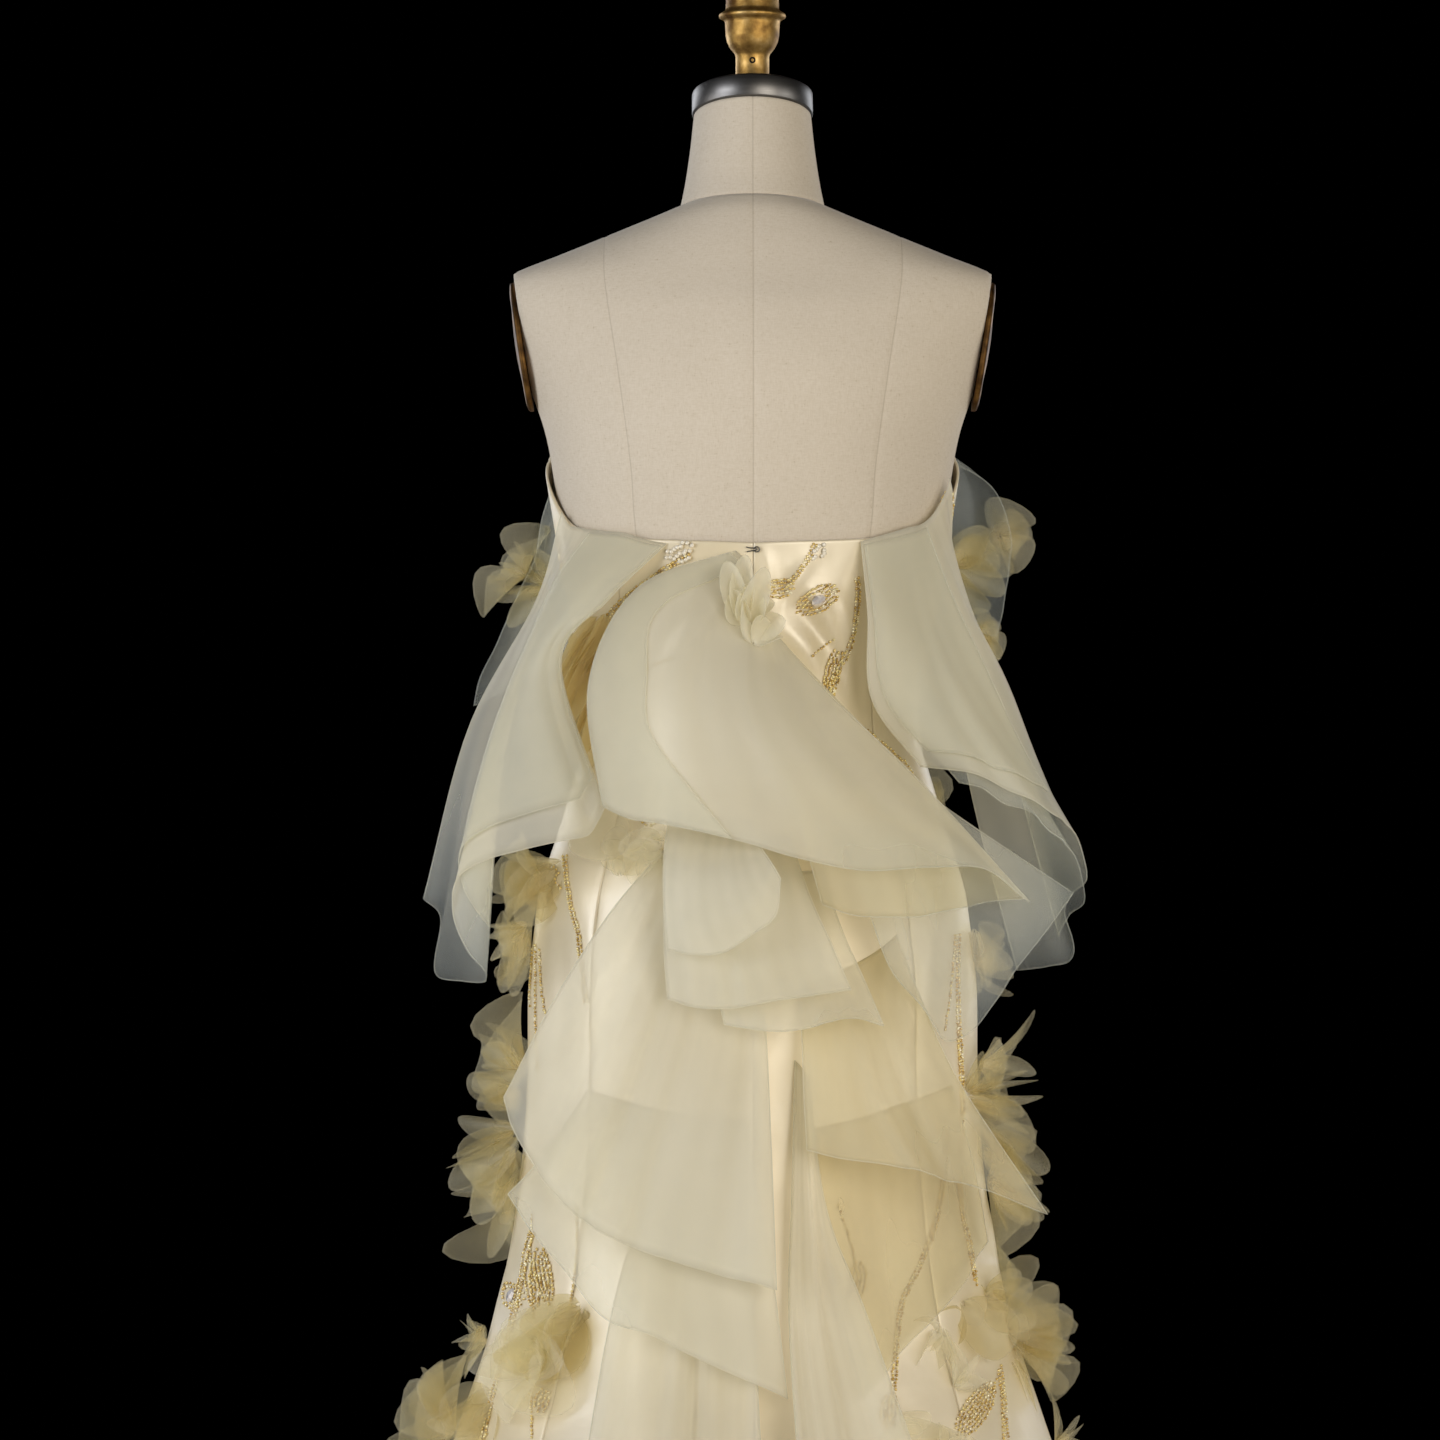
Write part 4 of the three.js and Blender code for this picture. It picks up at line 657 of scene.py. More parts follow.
# ---- Organza ruffles ----
# Each ruffle is cut on the curve from silk organza, its free edges rolled and sewn, and its root
# gathered and sewn to the gown. A row of the table is one rib of the ruffle: where it leaves the gown
# (angle and height), two places it passes, and its tip.
ORGANZA = 1.2
ORGANZA_SHEER = 0.45
SEAM_GAP = 0.3
ROOT_OFF = 0.95
SEAT = {"below": FLARE_TOP + 110, "off": 0.7}
RUFFLE_ROOM = 1.8
RIB_STEPS = 8
RUFFLE_ROWS = 40
HEM_RADIUS = 0.5
TUBE_SIDES = 6
RUFFLES = {
    "wing_left": [
        (25.6, 1178, (113, 112, 1133), (150, 106, 1085), (116, 120, 972)),
        (29.8, 1180, (126, 108, 1133), (162, 110, 1077), (127, 130, 952)),
        (34.4, 1183, (137, 104, 1134), (172, 108, 1066), (151, 132, 946)),
        (39.3, 1187, (146, 98, 1134), (182, 104, 1056), (181, 126, 939)),
        (44.2, 1188, (153, 92, 1134), (191, 98, 1046), (209, 118, 931)),
        (48.8, 1189, (159, 86, 1132), (201, 92, 1034), (231, 112, 916)),
        (52.4, 1190, (161, 80, 1132), (203, 92, 1020), (233, 116, 889)),
        (55.8, 1191, (162, 76, 1131), (198, 90, 1013), (222, 118, 860)),
        (59, 1192, (163, 70, 1132), (194, 84, 1017), (205, 110, 838)),
        (61.8, 1193, (164, 62, 1135), (200, 70, 1023), (230, 84, 836)),
        (65, 1194, (166, 52, 1138), (209, 54, 1028), (250, 64, 842)),
        (67.4, 1198, (168, 42, 1138), (218, 38, 1032), (247, 44, 883)),
        (69.6, 1205, (172, 30, 1135), (226, 22, 1034), (262, 24, 898)),
    ],
    "wing_right": [
        (-32.3, 1180, (-89, 112, 1122), (-92, 116, 1056), (-130, 112, 1004)),
        (-36.1, 1183, (-102, 110, 1118), (-112, 116, 1052), (-149, 118, 1002)),
        (-40.7, 1186, (-117, 104, 1114), (-136, 114, 1049), (-173, 122, 998)),
        (-45.3, 1189, (-132, 96, 1110), (-158, 108, 1046), (-202, 122, 985)),
        (-49.9, 1192, (-144, 88, 1107), (-178, 98, 1042), (-232, 114, 966)),
        (-54.6, 1194, (-154, 78, 1118), (-193, 86, 1046), (-250, 96, 955)),
        (-58.4, 1198, (-165, 64, 1132), (-204, 70, 1052), (-262, 70, 917)),
        (-61.9, 1204, (-168, 50, 1135), (-208, 52, 1052), (-253, 48, 903)),
        (-64.9, 1212, (-171, 36, 1135), (-204, 36, 1040), (-247, 34, 885)),
        (-66.9, 1219, (-168, 24, 1127), (-197, 22, 1024), (-253, 20, 851)),
        (-68.2, 1225, (-164, 10, 1120), (-186, 8, 1008), (-237, 10, 844)),
        (-68.7, 1232, (-158, -4, 1112), (-174, -6, 992), (-213, -4, 840)),
    ],
    "loop_left": [
        (114, 1252, (156, -70, 1246), (158, -62, 1240), (160, -52, 1234)),
        (111, 1226, (160, -68, 1218), (165, -60, 1210), (170, -48, 1204)),
        (108, 1198, (166, -64, 1188), (172, -56, 1178), (179, -46, 1170)),
        (106, 1168, (172, -62, 1156), (182, -54, 1144), (192, -46, 1134)),
        (104, 1138, (180, -60, 1124), (194, -52, 1112), (207, -46, 1100)),
        (102, 1110, (186, -60, 1096), (204, -54, 1084), (221, -48, 1074)),
        (100, 1086, (184, -60, 1074), (205, -56, 1062), (226, -52, 1052)),
    ],
    "loop_right": [
        (-118, 1258, (-160, -78, 1260), (-164, -66, 1256), (-168, -56, 1250)),
        (-115, 1240, (-170, -76, 1244), (-180, -64, 1242), (-190, -50, 1234)),
        (-112, 1220, (-176, -72, 1222), (-190, -60, 1220), (-203, -46, 1212)),
        (-109, 1196, (-176, -68, 1196), (-192, -56, 1192), (-208, -42, 1184)),
        (-106, 1170, (-172, -64, 1168), (-190, -52, 1164), (-208, -40, 1158)),
        (-103, 1142, (-166, -60, 1138), (-184, -50, 1134), (-203, -40, 1130)),
        (-101, 1116, (-160, -58, 1112), (-178, -50, 1110), (-197, -42, 1108)),
    ],
    "swirl": [
        (5, 1172, (88, 122, 1142), (125, 146, 1071), (113, 150, 978)),
        (4.1, 1170, (88, 144, 1117), (99, 170, 1040), (93, 166, 966)),
        (3.3, 1168, (66, 158, 1101), (70, 188, 1025), (70, 180, 962)),
        (2.4, 1165, (45, 168, 1086), (39, 198, 1013), (41, 192, 956)),
        (1.6, 1160, (26, 174, 1074), (9, 204, 1006), (7, 200, 947)),
        (1, 1155, (8, 176, 1067), (-20, 206, 998), (-35, 206, 935)),
        (0.4, 1148, (-8, 174, 1063), (-48, 204, 994), (-83, 206, 926)),
        (-0.2, 1141, (-24, 168, 1063), (-77, 196, 991), (-133, 204, 928)),
        (-0.8, 1134, (-39, 160, 1063), (-104, 184, 990), (-176, 192, 927)),
        (-1.4, 1124, (-55, 150, 1063), (-131, 165, 989), (-211, 172, 900)),
    ],
    "swirl_under": [
        (1, 1103, (4, 150, 1040), (-28, 174, 979), (-52, 180, 899)),
        (-0.9, 1103, (-14, 150, 1036), (-50, 178, 973), (-77, 186, 891)),
        (-2.7, 1103, (-31, 147, 1036), (-73, 178, 971), (-104, 190, 890)),
        (-4.6, 1103, (-45, 142, 1038), (-95, 172, 971), (-130, 188, 891)),
        (-6.2, 1103, (-56, 136, 1043), (-114, 162, 974), (-156, 182, 896)),
        (-7.5, 1103, (-64, 128, 1048), (-128, 150, 978), (-181, 170, 901)),
        (-8.4, 1103, (-69, 120, 1051), (-136, 138, 982), (-209, 156, 902)),
    ],
    "swirl_curl": [
        (25.7, 968, (69, 168, 936), (69, 188, 899), (66, 192, 865)),
        (19.2, 967, (54, 178, 933), (50, 202, 892), (45, 208, 862)),
        (13.5, 965, (37, 184, 933), (32, 212, 896), (24, 216, 864)),
        (8.7, 964, (21, 186, 935), (12, 216, 904), (3, 220, 877)),
        (4.5, 963, (8, 184, 939), (-3, 214, 916), (-16, 218, 892)),
        (0.4, 962, (-5, 180, 944), (-13, 206, 932), (-20, 212, 920)),
    ],
    "centre_ruffle": [
        (25.6, 954, (69, 156, 909), (69, 176, 868), (66, 182, 827)),
        (18.7, 954, (47, 164, 910), (45, 188, 865), (41, 196, 821)),
        (11.1, 953, (24, 168, 908), (18, 194, 863), (11, 204, 822)),
        (3.8, 951, (1, 170, 906), (-8, 196, 863), (-20, 208, 828)),
        (-3.3, 950, (-22, 168, 905), (-33, 192, 865), (-46, 204, 831)),
        (-10.5, 948, (-43, 162, 905), (-59, 184, 868), (-73, 194, 834)),
    ],
    "centre_ruffle_under": [
        (14.8, 926, (35, 158, 879), (29, 176, 837), (23, 184, 808)),
        (7.8, 925, (14, 160, 877), (7, 180, 835), (-1, 190, 804)),
        (0.9, 923, (-6, 160, 876), (-15, 181, 834), (-24, 192, 803)),
        (-5.9, 922, (-28, 158, 876), (-40, 179, 835), (-52, 190, 808)),
        (-12.7, 922, (-49, 154, 875), (-64, 174, 838), (-75, 185, 813)),
        (-19, 923, (-68, 148, 878), (-84, 166, 842), (-99, 177, 806)),
    ],
    "tier_left": [
        (26, 938, (111, 140, 891), (153, 158, 825), (191, 150, 749)),
        (23.3, 934, (97, 144, 882), (139, 172, 803), (185, 168, 727)),
        (19.5, 929, (82, 144, 870), (118, 182, 788), (163, 190, 693)),
        (15.3, 925, (63, 144, 859), (93, 187, 769), (131, 206, 661)),
        (11.2, 916, (43, 146, 843), (66, 190, 754), (93, 218, 642)),
        (7.3, 909, (24, 147, 832), (40, 194, 739), (56, 226, 630)),
        (3.5, 906, (8, 147, 824), (14, 196, 728), (22, 230, 621)),
        (0.4, 905, (-8, 146, 813), (-12, 190, 716), (-16, 226, 609)),
    ],
    "tier_left_under": [
        (45.6, 751, (148, 152, 724), (167, 162, 698), (187, 162, 675)),
        (39.4, 748, (129, 162, 714), (148, 174, 680), (169, 180, 648)),
        (33.1, 744, (110, 168, 703), (127, 184, 662), (143, 196, 620)),
        (26.8, 740, (89, 172, 695), (101, 191, 648), (114, 210, 587)),
        (20.4, 737, (67, 173, 688), (72, 194, 635), (75, 220, 573)),
        (13.7, 734, (45, 173, 683), (43, 196, 628), (38, 230, 557)),
        (7.3, 733, (20, 172, 680), (12, 196, 622), (2, 234, 541)),
        (1.9, 732, (-2, 169, 680), (-14, 190, 621), (-26, 230, 529)),
    ],
    "tier_right": [
        (-11.6, 835, (-37, 160, 794), (-38, 176, 753), (-40, 184, 712)),
        (-16.3, 839, (-55, 162, 794), (-60, 182, 750), (-67, 192, 706)),
        (-21.7, 845, (-74, 162, 798), (-82, 182, 750), (-108, 196, 701)),
        (-27.4, 852, (-94, 156, 802), (-112, 178, 750), (-141, 196, 692)),
        (-33.6, 861, (-113, 148, 807), (-139, 170, 753), (-176, 190, 682)),
        (-39.8, 872, (-130, 134, 824), (-160, 158, 760), (-225, 180, 663)),
    ],
    "tier_right_under": [
        (-15.1, 725, (-52, 157, 660), (-64, 171, 592), (-82, 192, 522)),
        (-21.5, 729, (-76, 149, 666), (-88, 160, 602), (-99, 178, 538)),
        (-28.4, 733, (-98, 137, 677), (-109, 146, 618), (-118, 158, 560)),
        (-35.8, 739, (-118, 124, 687), (-130, 129, 633), (-140, 138, 578)),
        (-44.1, 744, (-139, 107, 697), (-150, 109, 649), (-159, 115, 597)),
        (-51.5, 749, (-155, 90, 707), (-165, 90, 661), (-173, 92, 616)),
        (-59, 753, (-167, 73, 715), (-177, 69, 674), (-185, 67, 630)),
    ],
    "veil_right": [
        (-51.8, 1001, (-152, 130, 970), (-198, 134, 939), (-248, 126, 906)),
        (-47.9, 989, (-144, 132, 951), (-186, 138, 913), (-228, 130, 879)),
        (-44, 977, (-135, 134, 936), (-171, 140, 889), (-206, 130, 850)),
        (-39.7, 965, (-125, 136, 920), (-151, 142, 866), (-187, 134, 824)),
        (-35, 955, (-113, 138, 909), (-136, 144, 851), (-169, 134, 800)),
        (-30.8, 946, (-101, 140, 901), (-119, 146, 847), (-148, 142, 793)),
        (-27.1, 938, (-88, 142, 895), (-105, 150, 848), (-129, 152, 817)),
    ],
    "train_left": [
        (27.8, 658, (102, 175, 615), (114, 196, 561), (134, 300, 448)),
        (22.4, 651, (83, 178, 608), (91, 204, 547), (105, 338, 432)),
        (16.9, 647, (61, 181, 601), (65, 209, 541), (74, 350, 425)),
        (11.6, 642, (40, 182, 597), (41, 211, 537), (45, 360, 424)),
        (6.4, 640, (20, 181, 593), (18, 208, 538), (17, 350, 430)),
        (1.3, 637, (2, 179, 593), (-2, 202, 545), (-5, 320, 444)),
    ],
    "train_right": [
        (-10.2, 777, (-29, 172, 673), (-27, 198, 576), (-37, 345, 426)),
        (-11.2, 774, (-35, 176, 669), (-38, 205, 569), (-58, 360, 420)),
        (-12, 771, (-43, 178, 665), (-53, 207, 566), (-82, 358, 418)),
        (-12.7, 768, (-49, 176, 664), (-69, 203, 565), (-107, 343, 424)),
        (-13.5, 765, (-55, 172, 668), (-85, 192, 589), (-131, 304, 463)),
    ],
}
# The second layer of the right wing: the ribs of the first that it spans, how far it lies in from it,
# and how much longer it is.
UNDER_WING = {"from": 1, "to": 8, "inward": 9, "longer": 15}
# The soft waves in each ruffle's free edge: how many there are across it, how deep the deepest is, and
# where along the edge the first one starts. Then how deep the organza lies: at the root, and at the free
# edge on its first side and its last.
WAVES = {
    "wing_left": (4.5, 3.0, 0.1, 1.0, 0.75, 0.08),
    "wing_right": (4, 3.0, 0.4, 1.0, 0.6, 0.0),
    "loop_left": (1.5, 3, 0.3, 0.3, 0.1, 0.05),
    "loop_right": (1.5, 4, 0.1, 0.15, 0.0, 0.0),
    "swirl": (3, 4, 0.6, 1.0, 0.75, 0.35),
    "swirl_under": (2.5, 2.5, 0.2, 0.8, 0.5, 0.25),
    "swirl_curl": (1.5, 2, 0.5, 0.9, 0.8, 0.7),
    "centre_ruffle": (2.5, 3, 0.4, 0.9, 0.7, 0.5),
    "centre_ruffle_under": (2.5, 2, 0.1, 0.8, 0.5, 0.3),
    "tier_left": (4.5, 5, 0.3, 1.0, 0.5, 0.85),
    "tier_left_under": (3.5, 4, 0.7, 0.9, 0.35, 0.8),
    "tier_right": (3, 4, 0.2, 0.7, 0.6, 0.3),
    "tier_right_under": (3, 2, 0.5, 0.6, 0.35, 0.2),
    "veil_right": (2.5, 3, 0.8, 0.5, 0.08, 0.08),
    "train_left": (3.5, 6, 0.2, 1.0, 0.7, 0.7),
    "train_right": (2.5, 5, 0.6, 0.8, 0.6, 0.5),
    "wing_right_under": (0, 0, 0, 0.6, 0.2, 0.0),
}
# Three ruffles are doubled over part of their width: the swirl along its outer edge, where it rolls
# over, and both wings. start and end are the shares of the width between which the second layer lies, at
# each place down, and rise is how far it stands off.
DOUBLED = {
    "swirl_roll": {
        "over": "swirl",
        "down": [0.02, 0.2, 0.45, 0.65, 0.8, 1.0],
        "start": [0, 0, 0, 0, 0, 0],
        "end": [0.27, 0.14, 0.18, 0.185, 0.29, 0.42],
        "rise": 6,
    },
    "wing_left_over": {
        "over": "wing_left",
        "down": [0.02, 0.5, 0.93],
        "start": [0.01, 0.01, 0.01],
        "end": [0.5, 0.56, 0.64],
        "rise": 3,
    },
    "wing_right_over": {
        "over": "wing_right",
        "down": [0.02, 0.5, 0.9],
        "start": [0.02, 0.04, 0.08],
        "end": [0.5, 0.5, 0.44],
        "rise": 3,
    },
}
DOUBLED_COLUMNS = 24
DOUBLED_DEPTH = 0.45
DOUBLED_ROOM = 1.6
# The ruffles that lie underneath on the right take a darker, yellower copy of the organza, which paints in
# the shade on that side.
IN_PAINTED_SHADE = ("swirl_under", "tier_right", "tier_right_under")


def spline(points, places):
    """A smooth curve through the first axis of points, at places from 0 to 1: each span is a cubic
    whose slope at a point is half the step from the point before to the point after."""
    first, last = 2 * points[:1] - points[1:2], 2 * points[-1:] - points[-2:-1]
    padded = np.concatenate([first, points, last])
    at = np.clip(places, 0, 1) * (len(points) - 1)
    i = np.minimum(at.astype(int), len(points) - 2)
    t = (at - i).reshape((-1,) + (1,) * (points.ndim - 1))
    before, a, b, after = (padded[i + k] for k in range(4))
    sa, sb = (b - before) / 2, (after - a) / 2
    return a + sa * t + (3 * (b - a) - 2 * sa - sb) * t**2 + (2 * (a - b) + sa + sb) * t**3


def clear_of_gown(points, gap):
    """Points pushed straight out from the axis until they stand gap clear of the gown. The angle at
    which the gown lies in a point's own direction is found by eight steps towards it."""
    z = np.maximum(points[..., 2], HEM)
    aim = np.degrees(np.arctan2(points[..., 0], points[..., 1]))
    deg = aim.copy()
    for _ in range(8):
        there = gown_at(deg, z)
        deg += aim - np.degrees(np.arctan2(there[..., 0], there[..., 1]))
    there = gown_at(deg, z)
    least = np.hypot(there[..., 0], there[..., 1]) + gap
    grow = np.maximum(1, least / np.hypot(points[..., 0], points[..., 1]))
    return points * np.stack([grow, grow, np.ones_like(grow)], -1)


def normals(grid):
    """The direction square to a grid of points, from the steps to its neighbours."""
    return unit(np.cross(np.gradient(grid, axis=-2), np.gradient(grid, axis=-3)))


def outward(grid):
    """The direction square to a grid of points, on the side away from the gown's axis."""
    out = normals(grid)
    return out * np.where((out[..., :2] * grid[..., :2]).sum(-1) < 0, -1, 1)[..., None]


def seat_off(z):
    """More room at the root where the skirt's outline is hollow."""
    return np.where(z < SEAT["below"], SEAT["off"], 0)


def shares_of(grid):
    """How far down and how far across a grid each of its rows and columns lies, from 0 to 1."""
    return np.linspace(0, 1, grid.shape[0])[:, None], np.linspace(0, 1, grid.shape[1])[None, :]


def ruffle_surface(ribs, root_off):
    """The middle of a ruffle: a smooth curve across the ribs at the root, at each of their two places
    and at their tips, then a smooth curve down through those four."""
    deg, z = (np.array([rib[k] for rib in ribs], float) for k in (0, 1))
    root = gown_at(deg, z) + gown_normal(deg, z) * (root_off + seat_off(z))[:, None]
    lines = [root] + [np.array([rib[k] for rib in ribs], float) for k in (2, 3, 4)]
    across = np.linspace(0, 1, (len(ribs) - 1) * RIB_STEPS + 1)
    lines = np.stack([spline(line, across) for line in lines])
    return spline(lines, np.linspace(0, 1, RUFFLE_ROWS + 1))


def waved(name, middle):
    """A ruffle's middle with its soft waves: they grow from nothing at the root to the free edge, and
    their spacing and depth drift along it."""
    count, depth, start = WAVES[name][:3]
    down, s = shares_of(middle)
    drift = s + 0.05 * np.sin(2 * math.pi * (1.3 * s + start)) + 0.03 * down
    wave = np.sin(2 * math.pi * (count * drift + start))
    second = 0.35 * np.sin(2 * math.pi * (2.3 * count * drift + 2.7 * start))
    size = depth * (0.55 + 0.45 * np.sin(2 * math.pi * (1.7 * s + 1.9 * start)))
    return middle + normals(middle) * (down**1.4 * size * (wave + second))[..., None]


def tube(path, radius):
    """The points and faces of a round tube of few sides along a path, shut at both ends."""
    ahead = unit(np.gradient(path, axis=0))
    side = unit(np.cross(ahead, np.array([0.31, 0.22, 0.93])))
    over = np.cross(ahead, side)
    turn = full_turn(TUBE_SIDES)[None, :, None]
    rings = path[:, None] + radius * (np.cos(turn) * side[:, None] + np.sin(turn) * over[:, None])
    ends = [np.repeat(end[:, None], TUBE_SIDES, 1) for end in (path[:1], path[-1:])]
    rings = np.concatenate([ends[0], rings, ends[1]])
    return rings.reshape(-1, 3), grid_quads(len(rings), TUBE_SIDES, wrap=True)[:, ::-1]


def joined(lots):
    """Several lots of points and faces as one."""
    starts = np.cumsum([0] + [len(points) for points, _ in lots])
    quads = [faces + start for (_, faces), start in zip(lots, starts)]
    return np.concatenate([points for points, _ in lots]), np.concatenate(quads)


def sheer(name, thin, thick, cool, warm, through):
    """Woven silk so open that it is part air. The attribute layers says how deep the cloth lies there,
    from 0 for a single layer to 1 where it is gathered. thin and thick are the share of light that
    meets a thread then, and cool and warm the colours. Some of it comes back, and some goes on."""
    made, tree, place = new_material(name)
    layers = node(tree, "Attribute", {"attribute_name": "layers"}).outputs["Fac"]
    cloud = node(tree, "TexNoise", {"Scale": 14, "Detail": 3, "Vector": place})
    soft = node(tree, "MapRange", {"To Min": -0.1, "To Max": 0.1, "Value": cloud})
    depth = node(tree, "Math", {"operation": "ADD", "use_clamp": True, 0: layers, 1: soft})
    colour = node(tree, "ValToRGB", {"stops": [(0, cool), (0.6, warm)], "Fac": depth})
    look = {"Roughness": 0.55, "Specular IOR Level": 0.35, "Sheen Weight": 0.35, "Sheen Roughness": 0.3}
    scatter = node(tree, "BsdfPrincipled", {**look, "Base Color": colour})
    onward = node(tree, "BsdfTranslucent", {"Color": colour})
    thread = node(tree, "MixShader", {"Fac": 0.4, 1: scatter, 2: onward})
    air = node(tree, "BsdfTransparent", {"Color": linear(through)})
    share = node(tree, "MapRange", {"To Min": thin, "To Max": thick, "Value": depth})
    cloth = node(tree, "MixShader", {"Fac": share, 1: air, 2: thread})
    node(tree, "OutputMaterial", {"Surface": cloth})
    return made


def free_edge(grid):
    """A grid's values along its first side, its last row and back up its last side."""
    return np.concatenate([grid[:, 0], grid[-1, 1:-1], grid[::-1, -1]])


def ruffle_piece(name, middle, layers, replaced=None):
    """A ruffle as one closed thin sheet with its rolled hem round the two sides and the free edge."""
    out = normals(middle) * ORGANZA_SHEER / 2
    sheet, hem = wall(middle + out, middle - out), tube(free_edge(middle), HEM_RADIUS)
    slots = np.repeat([0, 1], [len(sheet[1]), len(hem[1])])
    depth = free_edge(layers)
    depth = np.repeat(np.concatenate([depth[:1], depth, depth[-1:]]), TUBE_SIDES)
    fields = {"layers": np.concatenate([layers.ravel(), layers.ravel(), depth])}
    # The ruffles underneath on the right take the copy of the organza with painted shade.
    finishes = [organza_painted_shade if name in IN_PAINTED_SHADE else organza, rolled_hem]
    lot = joined([sheet, hem])
    return mesh_object("organza_" + name, *lot, finishes, "organza", replaced, slots, fields, weld=True)


def cloth_depth(name, middle):
    """How deep the organza lies: from the ruffle's value at its root to that at its tip, with soft
    streaks where gathers run down from the root, uneven in width and strength."""
    start, root, tip_first, tip_last = WAVES[name][2:]
    down, s = shares_of(middle)
    s = s + 0.04 * np.sin(5 * down + 9 * start)
    streaks = np.sin(2 * math.pi * (3.1 * s + start)) + 0.7 * np.sin(2 * math.pi * (7.3 * s + 2 * start))
    streaks = 0.09 * streaks * (1 - 0.5 * down) + 0.05 * np.sin(2 * math.pi * (1.3 * s - 1.1 * down))
    tip = tip_first + (tip_last - tip_first) * smoothstep(s, 0.4, 0.7)
    return np.clip(root + (tip - root) * down**2 + streaks * root, 0, 1)


def under_wing(above):
    """The second layer of the right wing: the first moved in, soon after its root, and made longer over
    its last fifth, along the way that it runs out there."""
    share = np.linspace(0, 1, RUFFLE_ROWS + 1)[:, None, None]
    depth = ORGANZA + SEAM_GAP + (UNDER_WING["inward"] - ORGANZA) * np.minimum(1, 2 * share)
    reach = unit(above[-1] - above[-9])
    longer = np.maximum(0, np.linspace(-4, 1, RUFFLE_ROWS + 1))[:, None, None] * UNDER_WING["longer"]
    return above - outward(above) * depth + reach * longer


def grid_at(grid, down, share):
    """Points of a grid at places down and across it, each from 0 to 1, by even shares between rows and
    columns."""
    i, j = down * (grid.shape[0] - 1), share * (grid.shape[1] - 1)
    a, b = np.minimum(i.astype(int), grid.shape[0] - 2), np.minimum(j.astype(int), grid.shape[1] - 2)
    p, q = (i - a)[..., None], (j - b)[..., None]
    upper = grid[a, b] * (1 - q) + grid[a, b + 1] * q
    lower = grid[a + 1, b] * (1 - q) + grid[a + 1, b + 1] * q
    return upper * (1 - p) + lower * p


def doubled(part):
    """A second layer over part of a ruffle, raised from it most in the middle."""
    down = np.linspace(part["down"][0], part["down"][-1], RUFFLE_ROWS + 1)[:, None]
    start, end = along(part, "down", "start", down), along(part, "down", "end", down)
    w = np.linspace(0, 1, DOUBLED_COLUMNS + 1)[None, :]
    share = np.clip(start + (end - start) * w, 0, 1)
    base = grid_at(middles[part["over"]], np.broadcast_to(down, share.shape), share)
    rise = DOUBLED_ROOM + part["rise"] * np.sin(math.pi * np.sqrt(w)) * np.sin(math.pi * down * 0.6)
    return base + outward(base) * rise[..., None]


organza = sheer("silk_organza", 0.09, 0.55, "#E6F0F4", "#F4F1E4", "#FEFDF9")
# A darker, yellower copy of the organza: painted shade for the ruffles underneath on the right.
organza_painted_shade = sheer("organza_painted_shade", 0.08, 0.53, "#E7E7DB", "#F0E9D2", "#FDFBF2")
rolled_hem = sheer("rolled_organza_hem", 0.2, 0.55, "#EAF0F0", "#F6F3E6", "#FEFDF9")
middles = {}
for name, ribs in RUFFLES.items():
    root_off = ROOT_OFF + (ORGANZA + SEAM_GAP if name == "wing_right" else 0)
    plain = ruffle_surface(ribs, root_off)
    gap = np.full(plain.shape[:2], root_off + RUFFLE_ROOM)
    gap[0] = root_off + seat_off(plain[0, :, 2])
    middles[name] = clear_of_gown(waved(name, plain), gap)
spanned = slice(UNDER_WING["from"] * RIB_STEPS, UNDER_WING["to"] * RIB_STEPS + 1)
middles["wing_right_under"] = clear_of_gown(under_wing(middles["wing_right"][:, spanned]), ROOT_OFF)
for name, part in DOUBLED.items():
    over = doubled(part)
    piece = ruffle_piece(name, over, np.full(over.shape[:2], DOUBLED_DEPTH))
for name, middle in middles.items():
    piece = ruffle_piece(name, middle, cloth_depth(name, middle), name)


# ---- Organza flowers ----
# Each flower is made of petals cut from organza, pleated at the foot and sewn together at the heart,
# then to the gown. Some have round petals, and some have narrow ones with a point.
PETAL_THICKNESS = 1.2
PETAL_SHEER = 0.15
FLOWER_OFF = PETAL_THICKNESS + 0.35
